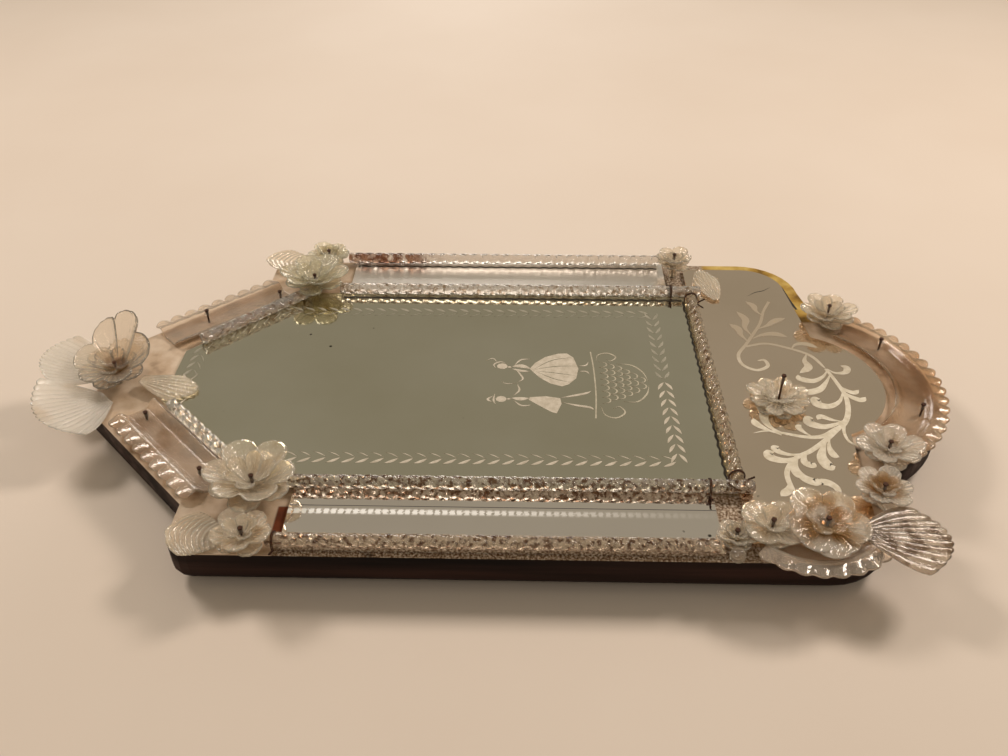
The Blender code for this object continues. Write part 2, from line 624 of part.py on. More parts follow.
for number, (x, y) in enumerate(screw_spots, 1):
    steps = [(SCREW_HEAD, SCREW_HEAD_THICK), (SCREW_RADIUS, SCREW_HEAD_THICK), (SCREW_RADIUS, SCREW_LENGTH)]
    bm = turned_steps(SCREW_HEAD, 0, steps, Matrix.Translation((x, y, back)), 8)
    add(f"hanger_screw_{number}", mesh_of(bm, f"hanger_screw_{number}"), STEEL)
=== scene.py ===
"""A wall mirror of plate glass, twisted rods, crimped bands and blown flowers on a wooden board.

The glass is modelled lying face up, with x to the right, y up the wall and z out of the board's front. Each
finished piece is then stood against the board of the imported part."""
import math

import bmesh
import bpy
from mathutils import Matrix, Vector


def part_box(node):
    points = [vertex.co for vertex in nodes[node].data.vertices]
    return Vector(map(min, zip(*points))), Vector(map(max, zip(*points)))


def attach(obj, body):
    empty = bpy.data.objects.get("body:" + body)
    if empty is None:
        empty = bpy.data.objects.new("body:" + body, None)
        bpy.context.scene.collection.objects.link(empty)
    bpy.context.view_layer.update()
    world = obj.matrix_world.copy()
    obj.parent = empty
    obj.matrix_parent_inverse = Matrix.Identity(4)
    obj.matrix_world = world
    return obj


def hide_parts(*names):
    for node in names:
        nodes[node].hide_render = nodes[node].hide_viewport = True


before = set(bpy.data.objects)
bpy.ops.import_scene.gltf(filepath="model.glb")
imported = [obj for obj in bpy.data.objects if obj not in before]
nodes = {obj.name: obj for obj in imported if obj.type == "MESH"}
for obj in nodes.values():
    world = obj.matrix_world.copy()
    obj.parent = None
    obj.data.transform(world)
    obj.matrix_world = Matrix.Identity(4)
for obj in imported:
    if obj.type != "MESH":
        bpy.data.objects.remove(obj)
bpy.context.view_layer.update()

# The board
# Softwood under a dark spirit stain, its front edges gilded where the glass lets them show. The gilding is
# worn through to the stain, and the grain is drawn out along the board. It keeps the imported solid.
BOARD_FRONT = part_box("backing_board")[0][1]
GOLD_FROM, GOLD_TOP = 0.097, -0.333  # the right shoulder's edge is gold leaf from here out, and below here
BARE_PATCH = (-0.184, -0.155)  # the sides of the bare wood at the left corner
BARE_PATCH_ENDS = (0.004, 0.018)
BARE_SLANT = (0.180, 0.197)  # x + z along the bare strip beside the right slanted rod
BARE_SLANT_ENDS = (-0.075, 0.070)  # z - x at its ends
MARGIN = 0.1985  # the board's margin outside the side strips, from here out
MARGIN_ENDS = (-0.312, 0.014)
STRIP_FOOT = 0.136  # the crumbled gilding below the side strips, from here out
STRIP_FOOT_ENDS = (-0.356, -0.306)
GOLD_METAL = 0.45  # how metallic the worn leaf is
CRUMBS_PER_METRE = 520.0  # crumbs of gesso about 2 mm wide
CRUMBLED = {0.38: "5E4632", 0.50: "97806A", 0.64: "D6C8B6"}
SMOOTH = {"interpolation_type": "SMOOTHSTEP"}  # a Map Range node that eases in and out
COLOURS = {"data_type": "RGBA", "out": 2}  # a Mix node for colours


def tone(code):
    """A colour written in sRGB hex, as the linear values that a shader takes."""
    steps = [int(code[k : k + 2], 16) / 255 for k in (0, 2, 4)]
    return (*[s / 12.92 if s <= 0.04045 else ((s + 0.055) / 1.055) ** 2.4 for s in steps], 1)


def put(tree, kind, feeds=None, stops=None, out=0, **settings):
    """Adds a node with these settings and, on a ramp, these stops of place and tone. An input takes a value,
    or the output that feeds it. It gives the output named by out, or all of them for None."""
    made = tree.nodes.new("ShaderNode" + kind)
    for key, value in settings.items():
        setattr(made, key, value)
    for key, value in (feeds or {}).items():
        if isinstance(value, bpy.types.NodeSocket):
            tree.links.new(value, made.inputs[key])
        else:
            made.inputs[key].default_value = value
    if stops:
        marks = made.color_ramp.elements
        while len(marks) < len(stops):
            marks.new(0.5)
        for mark, (place, code) in zip(marks, stops.items()):
            mark.position, mark.color = place, tone(code)
    return made.outputs[:] if out is None else made.outputs[out]


def finish(name, **plain):
    """A new material, its tree and its shader. plain are the values that are the same all over."""
    material = bpy.data.materials.new(name)
    material.use_nodes = True
    shader = material.node_tree.nodes["Principled BSDF"]
    for key, value in plain.items():
        shader.inputs[key.replace("_", " ")].default_value = value
    return material, material.node_tree, shader


def clouds(tree, coords, per_metre, detail=4.0, stretch=(1, 1, 1)):
    """Cloudy patches over the object, from 0 to 1, so many to the metre. stretch draws them out where it is
    under 1."""
    fitted = put(tree, "Mapping", {"Vector": coords, "Scale": stretch})
    return put(tree, "TexNoise", {"Vector": fitted, "Scale": per_metre, "Detail": detail})


def overlap(tree, *masks):
    """1 only where every mask is 1."""
    shared = masks[0]
    for mask in masks[1:]:
        shared = put(tree, "Math", {0: shared, 1: mask}, operation="MULTIPLY")
    return shared


def between(tree, value, low, high, soft):
    """1 where the value is between low and high, with soft edges."""
    rising = put(tree, "MapRange", {0: value, 1: low, 2: low + soft}, **SMOOTH)
    falling = put(tree, "MapRange", {0: value, 1: high, 2: high - soft}, **SMOOTH)
    return overlap(tree, rising, falling)


# Dark stained softwood, whose grain shows as slow streaks
wood, tree, shader = finish("stained_softwood", Specular_IOR_Level=0.25)
coords = put(tree, "TexCoord", out="Object")
across, depth, height = put(tree, "SeparateXYZ", {0: coords}, out=None)
outward = put(tree, "Math", {0: across}, operation="ABSOLUTE")
grain = clouds(tree, coords, 60.0, 6.0, (1, 1, 0.06))
stain = put(tree, "ValToRGB", {0: grain}, {0.32: "100705", 0.52: "240F08", 0.72: "38190E"})

# The wood is bare and reddish at the left corner and beside the right slanted rod
patch_across = between(tree, across, *BARE_PATCH, 0.002)
bare_corner = overlap(tree, patch_across, between(tree, height, *BARE_PATCH_ENDS, 0.002))
slant_across = put(tree, "Math", {0: across, 1: height}, operation="ADD")
slant_along = put(tree, "Math", {0: height, 1: across}, operation="SUBTRACT")
bare_strip = between(tree, slant_across, *BARE_SLANT, 0.003)
bare_strip = overlap(tree, bare_strip, between(tree, slant_along, *BARE_SLANT_ENDS, 0.006))
bare = put(tree, "Math", {0: bare_corner, 1: bare_strip}, operation="MAXIMUM")
worn = clouds(tree, coords, 38.0, 7.0)
reddish = put(tree, "ValToRGB", {0: worn}, {0.35: "3A1A0E", 0.60: "7A3E22"})
stain = put(tree, "Mix", {0: bare, 6: stain, 7: reddish}, **COLOURS)

# Gold leaf at the right shoulder, gesso elsewhere, and crumbs of both along the margins
gold = put(tree, "ValToRGB", {0: worn}, {0.30: "5E3F1C", 0.46: "A9853C", 0.66: "D3B76C"})
gesso = put(tree, "ValToRGB", {0: worn}, {0.30: "8A7158", 0.46: "BFA58B", 0.66: "D8C3AD"})
on_right = put(tree, "MapRange", {0: across, 1: GOLD_FROM, 2: GOLD_FROM + 0.005}, **SMOOTH)
low_down = put(tree, "MapRange", {0: height, 1: GOLD_TOP + 0.004, 2: GOLD_TOP}, **SMOOTH)
by_shoulder = overlap(tree, on_right, low_down)
leaf_tone = put(tree, "Mix", {0: by_shoulder, 6: gesso, 7: gold}, **COLOURS)
margin = put(tree, "MapRange", {0: outward, 1: MARGIN, 2: MARGIN + 0.0005}, **SMOOTH)
margin = overlap(tree, margin, between(tree, height, *MARGIN_ENDS, 0.003))
strip_foot = put(tree, "MapRange", {0: outward, 1: STRIP_FOOT, 2: STRIP_FOOT + 0.004}, **SMOOTH)
strip_foot = overlap(tree, strip_foot, between(tree, height, *STRIP_FOOT_ENDS, 0.006))
margin = put(tree, "Math", {0: margin, 1: strip_foot}, operation="MAXIMUM")
crumbled = put(tree, "ValToRGB", {0: clouds(tree, coords, CRUMBS_PER_METRE, 6.0)}, CRUMBLED)
leaf_tone = put(tree, "Mix", {0: margin, 6: leaf_tone, 7: crumbled}, **COLOURS)

# The leaf is on the front face alone, and rubbed through in patches
front = put(tree, "MapRange", {0: depth, 1: BOARD_FRONT + 0.0014, 2: BOARD_FRONT + 0.0004}, **SMOOTH)
rubbed = put(tree, "MapRange", {0: clouds(tree, coords, 22.0, 8.0), 1: 0.26, 2: 0.38}, **SMOOTH)
covered = put(tree, "Math", {0: 1.0, 1: bare}, operation="SUBTRACT")
gilded = overlap(tree, front, rubbed, covered)
board_tone = put(tree, "Mix", {0: gilded, 6: stain, 7: leaf_tone}, **COLOURS)
tree.links.new(board_tone, shader.inputs["Base Color"])
tree.links.new(overlap(tree, gilded, by_shoulder, GOLD_METAL), shader.inputs["Metallic"])
tree.links.new(put(tree, "MapRange", {0: grain, 1: 1.3, 2: 0.1}, **SMOOTH), shader.inputs["Roughness"])
relief = put(tree, "Bump", {"Height": grain, "Strength": 0.35, "Distance": 0.0006})
tree.links.new(relief, shader.inputs["Normal"])


def wear(node, material):
    """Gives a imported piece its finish."""
    mesh = nodes[node].data
    mesh.materials.clear()
    mesh.materials.append(material)


wear("backing_board", wood)

# The plates
# Plate glass with old silvering, cut to meet under the rods. The silvering has gone slightly olive and
# cloudy, with fine specks. The side strips and the lower plate are newer and pinker. All keep their solids.


def silvering(name, clear, cloudy):
    """Old silvering behind plate glass, between two tones, with dark specks about a millimetre wide."""
    material, tree, shader = finish(name, Metallic=1.0)
    coords = put(tree, "TexCoord", out="Object")
    haze = clouds(tree, coords, 7.0, 5.0)
    ground = put(tree, "ValToRGB", {0: haze}, {0.35: clear, 0.75: cloudy})
    cells = put(tree, "TexVoronoi", {"Vector": coords, "Scale": 95.0}, out="Distance", feature="F1")
    specks = put(tree, "MapRange", {0: cells, 1: 0.16, 2: 0.10}, **SMOOTH)
    scarce = put(tree, "MapRange", {0: clouds(tree, coords, 31.0, 2.0), 1: 0.66, 2: 0.72}, **SMOOTH)
    specks = overlap(tree, specks, scarce)
    spotted = put(tree, "Mix", {0: specks, 6: ground, 7: tone("3A3328")}, **COLOURS)
    tree.links.new(spotted, shader.inputs["Base Color"])
    tree.links.new(put(tree, "MapRange", {0: haze, 1: -0.6, 2: 8.0}, **SMOOTH), shader.inputs["Roughness"])
    return material


# On the left strip, beyond a dark line, a dotted white line is a painted reflection of the rod's ridges,
# and a second dotted row by the outer rod is a painted glint. The right strip is dusty.
DARK_STRIP_LINE = (0.1572, 0.1583)
PAINTED_GLINT_BAND = (0.1596, 0.1676)
PAINTED_EDGE_GLINT = (0.1855, 0.1910)
GLINT_PITCH = 0.0055
GLINT_ENDS = (-0.34, -0.06)  # the shine fades in from the lower end to the upper
STRIP_EDGE = 0.1995  # the silvering is crumbled from here out


def strip_silvering(name, line_and_glints, roughness):
    """A side strip's silvering, crumbled at its outer edge. Its second argument turns on its dark line and
    painted glint dots.
    """
    material = silvering(name, "FFF6EE", "F6ECE4")
    tree = material.node_tree
    shader = tree.nodes["Principled BSDF"]
    coords = put(tree, "TexCoord", out="Object")
    across, _, height = put(tree, "SeparateXYZ", {0: coords}, out=None)
    outward = put(tree, "Math", {0: across}, operation="ABSOLUTE")
    crumbs = clouds(tree, coords, CRUMBS_PER_METRE, 6.0)
    line = overlap(tree, between(tree, outward, *DARK_STRIP_LINE, 0.0003), line_and_glints)
    edge = put(tree, "MapRange", {0: outward, 1: STRIP_EDGE, 2: STRIP_EDGE + 0.0003}, **SMOOTH)
    # The dots are painted light: matt white spots in rows, standing for the reflection of the rod's ridges
    # and a glint by the outer rod
    turns = put(tree, "Math", {0: height, 1: math.tau / GLINT_PITCH}, operation="MULTIPLY")
    wave = put(tree, "Math", {0: turns}, operation="SINE")
    uneven = put(tree, "Math", {0: crumbs, 1: 0.5}, operation="SUBTRACT")
    ragged = put(tree, "Math", {0: uneven, 1: 5.0, 2: wave}, operation="MULTIPLY_ADD")
    glint_dots = put(tree, "MapRange", {0: ragged, 1: -1.6, 2: 0.3}, **SMOOTH)
    upwards = put(tree, "MapRange", {0: height, 1: GLINT_ENDS[0], 2: GLINT_ENDS[1]}, **SMOOTH)
    glint_band, edge_glint = between(tree, outward, *PAINTED_GLINT_BAND, 0.0032), between(tree, outward, *PAINTED_EDGE_GLINT, 0.0020)
    glint_zones = put(tree, "Math", {0: glint_band, 1: edge_glint}, operation="MAXIMUM")
    glint_dots = overlap(tree, glint_dots, upwards, line_and_glints, glint_zones)
    (plain,) = shader.inputs["Base Color"].links
    silver = put(tree, "Mix", {0: glint_dots, 6: plain.from_socket, 7: tone("FFFDFA")}, **COLOURS)
    silver = put(tree, "Mix", {0: line, 6: silver, 7: tone("2E241A")}, **COLOURS)
    crumbled = put(tree, "ValToRGB", {0: crumbs}, CRUMBLED)
    silver = put(tree, "Mix", {0: edge, 6: silver, 7: crumbled}, **COLOURS)
    tree.links.new(silver, shader.inputs["Base Color"])
    matt = put(tree, "Math", {0: glint_dots, 1: line}, operation="MAXIMUM")
    matt = put(tree, "Math", {0: matt, 1: edge}, operation="MAXIMUM")
    metal = put(tree, "Math", {0: 1.0, 1: matt}, operation="SUBTRACT")
    tree.links.new(metal, shader.inputs["Metallic"])
    dull = put(tree, "Math", {0: overlap(tree, matt, 0.5), 1: roughness}, operation="MAXIMUM")
    tree.links.new(dull, shader.inputs["Roughness"])
    return material


main_silver = silvering("old_silvering", "E2DDCB", "D6D0BA")
wear("main_mirror_plate", main_silver)
# The left strip alone carries the dark line and the painted glints
wear("left_side_strip", strip_silvering("silvering_with_painted_glints", 1.0, 0.02))
wear("right_side_strip", strip_silvering("dusty_silvering", 0.0, 0.30))
wear("lower_mirror_plate", silvering("browned_silvering", "FFEBD7", "F2DEC8"))

# The wheel-cut border and the two figures
# Cut by a wheel into the middle plate: pairs of laurel leaves along its edges, and a lady and a gentleman on
# a mound of scales. Each cut is a thin faceted sliver on the plate, matt and pale.
PLATE_FACE = BOARD_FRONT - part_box("main_mirror_plate")[0][1]
CUT_LIFT = 0.00006
BORDER_SIDE = 0.1045
BORDER_FOOT = -0.2895
BORDER_SHOULDER = 0.068
BORDER_CROWN = (0.045, 0.128)
LEAF_PITCH = 0.0114
LEAF_LONG = 0.0132
LEAF_WIDE = 0.0028
LEAF_SPREAD = math.radians(29)
STAND = Matrix.Translation((0, BOARD_FRONT, 0)) @ Matrix.Rotation(math.radians(90), 4, "X")


def stand(name, bm, material, smooth=True):
    """Stands a mesh that was made lying face up, and adds it as a piece that rides with the mirror."""
    bmesh.ops.transform(bm, matrix=STAND, verts=bm.verts)
    mesh = bpy.data.meshes.new(name)
    bm.to_mesh(mesh)
    bm.free()
    mesh.materials.append(material)
    mesh.polygons.foreach_set("use_smooth", [smooth] * len(mesh.polygons))
    piece = bpy.data.objects.new(name, mesh)
    bpy.context.scene.collection.objects.link(piece)
    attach(piece, "root")
    return piece


def frosted(name, light, dark, dim=None):
    """Matt cut glass, pale because it scatters the light. With dim, a tone and two places, it fades to that
    tone from the one to the other along x."""
    material, tree, shader = finish(name, Roughness=0.62)
    coords = put(tree, "TexCoord", out="Object")
    tint = put(tree, "ValToRGB", {0: clouds(tree, coords, 240.0, 3.0)}, {0.3: dark, 0.7: light})
    if dim:
        across = put(tree, "SeparateXYZ", {0: coords}, out="X")
        faded = put(tree, "MapRange", {0: across, 1: dim[1], 2: dim[2]}, **SMOOTH)
        tint = put(tree, "Mix", {0: faded, 6: tint, 7: tone(dim[0])}, **COLOURS)
    tree.links.new(tint, shader.inputs["Base Color"])
    return material


def curve_through(points, steps):
    """Points along a smooth curve through these, with the direction at each."""
    knots = [Vector(p) for p in points]
    knots = [2 * knots[0] - knots[1]] + knots + [2 * knots[-1] - knots[-2]]
    spans = len(knots) - 3
    found = []
    for k in range(steps + 1):
        t = min(k / steps * spans, spans - 1e-6)
        a, b, c, d = knots[int(t) : int(t) + 4]
        t %= 1
        bend = 2 * a - 5 * b + 4 * c - d
        swing = 3 * b - a - 3 * c + d
        spot = 0.5 * (2 * b + (c - a) * t + bend * t * t + swing * t**3)
        way = 0.5 * ((c - a) + 2 * bend * t + 3 * swing * t * t)
        found.append((spot, way.normalized()))
    return found


def ribbon(bm, points, width, height, steps=20, ridge=0.0):
    """A flat stroke along a curve. width(s) gives its breadth at a share s of its length, and ridge lifts its
    middle."""
    path = curve_through(points, steps)
    for vert in bmesh.ops.create_grid(bm, x_segments=2, y_segments=steps, size=0.5)["verts"]:
        across = round(vert.co.x * 2)
        step = round((vert.co.y + 0.5) * steps)
        spot, way = path[step]
        flat = spot + Vector((way.y, -way.x)) * width(step / steps) / 2 * across
        vert.co = (flat.x, flat.y, height + ridge * (1 - abs(across)))


def lens(widest):
    """The width of a stroke that is pointed at both ends."""
    return lambda s: widest * math.sin(math.pi * min(max(s, 0.02), 0.98))


def even(width):
    return lambda s: width


def patch(bm, outline, height):
    """A flat patch of any outline."""
    face = bm.faces.new([bm.verts.new((x, y, height)) for x, y in outline])
    face.normal_update()
    if face.normal.z < 0:
        face.normal_flip()


def disc(bm, spot, reach, corners, height):
    """A flat round patch, its middle and its reaches in millimetres."""
    place = Matrix.Translation((spot[0] / 1000, spot[1] / 1000, height))
    stretched = Matrix.Diagonal((reach[0] / 1000, reach[1] / 1000, 1, 1))
    turned = Matrix.Rotation(math.radians(-90), 4, "Z")
    bmesh.ops.create_circle(bm, cap_ends=True, segments=corners, radius=1, matrix=place @ stretched @ turned)


def laurel(bm, start, end, thin):
    """Pairs of leaves from start to end, pointing that way. Those on the thin side are fine strokes."""
    start, end = Vector(start), Vector(end)
    way = (end - start).normalized()
    count = round((end - start).length / LEAF_PITCH)
    for k in range(count):
        foot = start + (end - start) * (k + 0.15) / count
        for turn in (-LEAF_SPREAD, LEAF_SPREAD):
            c, s = math.cos(turn), math.sin(turn)
            out = Vector((way.x * c - way.y * s, way.x * s + way.y * c))
            bend = Vector((-way.y, way.x)) * (0.0007 if turn > 0 else -0.0007)
            ends = (foot + out * 0.0010, foot + out * LEAF_LONG / 2 + bend, foot + out * LEAF_LONG)
            width = LEAF_WIDE * (0.35 if turn * thin > 0 else 1)
            ribbon(bm, ends, lens(width), PLATE_FACE + CUT_LIFT + 0.00001 * (k % 2), 6, 0.0002)


# The cuts are bright along the left side. Along the right they take a darker copy, a painted shade
cut_glass = frosted("wheel_cut_glass", "D3C6B4", "B9AC98")
shaded_cut = frosted("shaded_wheel_cut", "A69E8C", "8F8876")
for side, sign, cut_tone in (("left", -1, cut_glass), ("right", 1, shaded_cut)):
    bm = bmesh.new()
    corner, shoulder = (sign * BORDER_SIDE, BORDER_FOOT), (sign * BORDER_SIDE, BORDER_SHOULDER)
    crown = (sign * BORDER_CROWN[0], BORDER_CROWN[1])
    laurel(bm, (0, BORDER_FOOT), corner, 0)
    laurel(bm, corner, shoulder, sign)
    laurel(bm, shoulder, crown, sign)
    laurel(bm, crown, (0, BORDER_CROWN[1]), sign)
    stand(side + "_laurel_border", bm, cut_tone, smooth=False)

# The lady's skirt and bodice, the gentleman's coat, and their limbs as thin strokes
SKIRT = [(15, -172), (24, -177), (33, -186), (38.5, -198), (39, -206), (33, -211.5), (16, -215.5), (2, -213)]
SKIRT += [(-7, -206), (-10, -200), (-6, -190), (2, -181), (9, -176)]
SKIRT_FOLDS = [((15, -176), (28, -192), (33, -210)), ((14, -176), (19, -195), (20, -213.5))]
SKIRT_FOLDS += [((12, -178), (9, -196), (6, -212)), ((11, -178), (1, -193), (-4, -207))]
COAT = [(-29, -171), (-25.5, -172), (-24, -186), (-26.5, -198), (-34, -199), (-47, -194.5)]
COAT += [(-45, -190), (-36, -179)]
STROKES = [
    (((15, -173), (19, -165), (18, -156)), 5.0),
    (((11, -172), (12, -164), (15, -156)), 3.0),
    (((17, -158), (8, -163), (0, -166), (-5, -161)), 1.7),
    (((19, -158), (28, -164), (30, -173)), 1.7),
    (((17, -156), (17.5, -152)), 2.4),
    (((22, -152), (25, -146), (21, -140), (15, -142)), 1.5),
    (((24, -143), (30, -139), (27, -133)), 1.1),
    (((-27, -172), (-28, -164), (-27, -156)), 4.6),
    (((-24, -158), (-16, -163), (-7, -161)), 1.7),
    (((-30, -158), (-37, -165), (-36, -174)), 1.7),
    (((-28, -156), (-28.5, -152)), 2.2),
    (((-36, -143), (-30, -141), (-21, -142)), 1.6),
    (((-33, -140), (-29, -136), (-24, -141)), 2.0),
    (((-26, -198), (-23, -209), (-19, -221), (-16, -225)), 2.6),
    (((-32, -199), (-36, -212), (-38.5, -223), (-42, -226)), 2.6),
    (((20, -215), (21, -222), (26, -225)), 1.6),
    (((12, -215), (12, -222), (8, -225)), 1.6),
    (((-6, -160), (-7, -152), (-4, -147)), 0.9),
]
HEADS = [(18.5, -147.5, 4.3, 4.8), (-28.5, -147.5, 4.1, 4.7)]
HEAD_CORNERS = 9
GROUND = ((42, -227.5), (16, -229), (-20, -229), (-53, -227))
SCALE_ROWS = [(-236, -33, 27), (-242.5, -29, 24), (-249, -27, 21), (-255.5, -23, 16), (-262, -19, 11)]
SCALE_ROWS += [(-268.5, -13, 5)]
SCALE_WIDE = 8.6
MOUND_CURLS = [
    ((27, -232), (37, -234), (40, -243), (34, -250), (28, -245), (31, -241)),
    ((-35, -232), (-48, -235), (-52, -244), (-45, -252), (-37, -248), (-40, -242)),
    ((-30, -252), (-30, -264), (-19, -273), (-6, -276)),
    ((24, -250), (22, -263), (12, -272), (-2, -276)),
]


def mm(points):
    return [(x / 1000, y / 1000) for x, y in points]


bm = bmesh.new()
cut = PLATE_FACE + CUT_LIFT
patch(bm, mm(SKIRT), cut)
patch(bm, mm(COAT), cut)
for x, y, across, up in HEADS:
    disc(bm, (x, y), (across, up), HEAD_CORNERS, cut)
for points, width in STROKES:
    ribbon(bm, mm(points), lens(width / 1000), cut + 0.00002, 12, 0.0002)
stand("engraved_figures", bm, cut_glass, smooth=False)

bm = bmesh.new()
for fold in SKIRT_FOLDS:
    ribbon(bm, mm(fold), lens(0.0008), cut + 0.00005, 12)
stand("skirt_folds", bm, main_silver, smooth=False)

# The finer cuts of the mound look greyer
fine_cut = frosted("fine_wheel_cut", "C4B9A2", "A89D88")
bm = bmesh.new()
ribbon(bm, mm(GROUND), even(0.0012), cut, 16)
for row, (y, low, high) in enumerate(SCALE_ROWS):
    count = max(2, round((high - low) / SCALE_WIDE))
    pitch = (high - low) / count
    for k in range(count):
        x = low + (k + 0.5) * pitch
        scale = [(x - pitch * 0.5, y + 2), (x - pitch * 0.33, y - 3.4), (x, y - 5)]
        scale += [(x + pitch * 0.33, y - 3.4), (x + pitch * 0.5, y + 2)]
        ribbon(bm, mm(scale), lens(0.0013), cut + 0.00001 * (row % 2), 10, 0.0002)
for curl in MOUND_CURLS:
    ribbon(bm, mm(curl), lens(0.0016), cut + 0.00003, 18, 0.0002)
stand("scaled_mound", bm, fine_cut, smooth=False)

# The etched scrolls
# Acanthus scrolls etched matt white on the lower plate, on both sides of the rosette. They are flat strokes
# that swell towards a round tip, laid along their stems. A hair-line crack runs in from the right edge.
STEM_UNIT = 1 / 850  # metres of breadth for one unit in STEMS
SPRAY_UNIT = 1 / 700
LAYER_STEP = 0.000004  # each stroke lies on the last
STEMS = [
    (
        ((130, -408), (112, -399), (92, -392), (72, -381), (55, -371), (40, -362), (25, -363), (17, -374))
        + ((23, -385), (32, -384), (31, -377)),
        2.2,
        3.2,
    ),
    (((53, -371), (58, -390), (52, -408), (40, -427), (20, -436)), 2.4, 3.0),
    (((20, -436), (2, -440), (-18, -443), (-38, -440), (-54, -433), (-64, -423)), 2.6, 4.6),
    (((-62, -425), (-72, -410), (-73, -396), (-69, -380), (-66, -367), (-69, -354)), 4.6, 1.0),
    (
        ((-60, -427), (-76, -412), (-90, -396), (-99, -382), (-114, -372), (-129, -371), (-142, -374))
        + ((-152, -380),),
        3.8,
        3.4,
    ),
    (((-52, -433), (-66, -429), (-78, -430), (-84, -437)), 2.6, 1.6),
]
SPRAYS = [
    (((70, -380), (84, -376), (98, -379), (112, -373)), 5.0),
    (((60, -375), (72, -370), (82, -369), (90, -362)), 5.2),
    (((82, -388), (88, -398), (96, -407), (101, -418)), 4.8),
    (((66, -380), (72, -390), (74, -402), (69, -413)), 5.0),
    (((104, -397), (113, -392), (122, -391), (130, -385)), 4.6),
    (((50, -412), (57, -418), (58, -428), (52, -437)), 4.4),
    (((42, -424), (32, -420), (22, -421), (13, -411)), 5.2),
    (((20, -437), (14, -443), (15, -452), (22, -455), (25, -450)), 4.4),
    (((18, -437), (8, -430), (2, -420), (5, -410), (11, -409)), 5.0),
    (((12, -438), (0, -431), (-10, -423), (-14, -412), (-10, -405)), 5.4),
    (((0, -440), (-8, -443), (-14, -451), (-10, -457)), 3.8),
    (((-6, -441), (-17, -445), (-24, -454), (-20, -460)), 4.4),
    (((-14, -442), (-26, -436), (-33, -426), (-31, -417), (-24, -416), (-23, -420)), 6.4),
    (((-50, -435), (-56, -426), (-60, -414), (-56, -404), (-50, -404), (-49, -408)), 6.4),
    (((-53, -431), (-51, -423), (-47, -415), (-51, -411)), 4.2),
    (((-71, -382), (-63, -371), (-52, -367), (-41, -368), (-30, -363)), 5.6),
    (((-71, -377), (-64, -366), (-57, -359), (-50, -358)), 4.6),
    (((-73, -402), (-67, -396), (-61, -393), (-58, -396)), 3.8),
    (((-90, -397), (-97, -386), (-102, -374), (-99, -363), (-93, -362), (-92, -367)), 6.0),
    (((-93, -391), (-95, -380), (-92, -371), (-87, -368), (-85, -372)), 4.6),
    (((-74, -413), (-86, -407), (-98, -403), (-108, -406), (-108, -411)), 7.0),
    (((-74, -415), (-85, -412), (-94, -413), (-97, -417)), 4.6),
    (((-88, -399), (-93, -391), (-103, -388), (-107, -393), (-104, -396)), 5.0),
    (((-97, -384), (-110, -380), (-121, -383), (-126, -391), (-122, -394)), 6.0),
    (((-99, -382), (-110, -377), (-118, -379), (-121, -384)), 4.0),
    (((-126, -371), (-135, -368), (-142, -361)), 5.0),
    (((-136, -372), (-141, -381), (-146, -390), (-152, -394)), 5.6),
    (((-158, -392), (-147, -402), (-134, -406), (-127, -401), (-126, -395), (-129, -394)), 5.2),
]
CRACK = ((140, -389), (147, -398), (150, -406), (157, -415))
SPECK = (65, 33)
SPECK_REACH = 1.2
SPECK_CORNERS = 10


def swelling(widest):
    """The breadth of a leaf that swells from its stem towards a round tip."""
    return lambda s: widest * (0.16 + 0.84 * math.sin(math.pi * min(s, 0.995) ** 1.9) ** 0.75) * (1 - s**14)


def tapered(start, end):
    return lambda s: (start + (end - start) * s) * (1 - s**18)


# Etching is chalky white, and greyer towards the right
etched = frosted("etched_glass", "E6DAC6", "CDBFA6", ("A5947D", -0.02, 0.075))
bm = bmesh.new()
layer = PLATE_FACE + CUT_LIFT
for points, start, end in STEMS:
    ribbon(bm, mm(points), tapered(start * STEM_UNIT, end * STEM_UNIT), layer, 48)
    layer += LAYER_STEP
for points, widest in SPRAYS:
    ribbon(bm, mm(points), swelling(widest * SPRAY_UNIT), layer, 30)
    layer += LAYER_STEP
stand("etched_scrolls", bm, etched, smooth=False)

# Dirt in a crack, nearly black and a little uneven
dark_line, tree, shader = finish("crack_line", Roughness=0.4)
shade = clouds(tree, put(tree, "TexCoord", out="Object"), 90.0)
shade = put(tree, "ValToRGB", {0: shade}, {0.3: "1C1712", 0.7: "453B2E"})
tree.links.new(shade, shader.inputs["Base Color"])
bm = bmesh.new()
ribbon(bm, mm(CRACK), lens(0.0009), PLATE_FACE + CUT_LIFT, 12)
stand("plate_crack", bm, dark_line, smooth=False)
bm = bmesh.new()
disc(bm, SPECK, (SPECK_REACH, SPECK_REACH), SPECK_CORNERS, PLATE_FACE + CUT_LIFT)
stand("silvering_speck", bm, dark_line, smooth=False)

# A dark line that shows between the lower plate and the gilding, round the right shoulder
TURN_X, TURN_Y = 152, -389
TURN = 40
bm = bmesh.new()
edge = [(192.2, -333), (192.2, -360), (192.0, -389)]
for k in range(1, 10):
    angle = math.radians(-10 * k)
    edge.append((TURN_X + TURN * math.cos(angle), TURN_Y + TURN * math.sin(angle)))
edge += [(152, -429.4), (138, -431), (122, -434)]
ribbon(bm, mm(edge), even(0.0026), CUT_LIFT, 60)
stand("dark_line_round_shoulder", bm, dark_line, smooth=False)

# The twisted rods
# Clear glass drawn square and twisted while hot, which leaves four rounded ridges that run round it like a
# rope's strands. Old dirt and the worn silvering behind show through them as brown.
ROD_RADIUS = 0.0055
ROD_LEAD = 0.044
ROD_CORNERS = 32
ROD_STEP = 0.0013
ROD_END = 0.88  # how far the ends are drawn in
SLANT = math.sqrt(0.5)  # of 45 degrees
VERTICAL_RODS = ("left_inner_rod", "right_inner_rod", "left_outer_rod", "right_outer_rod")


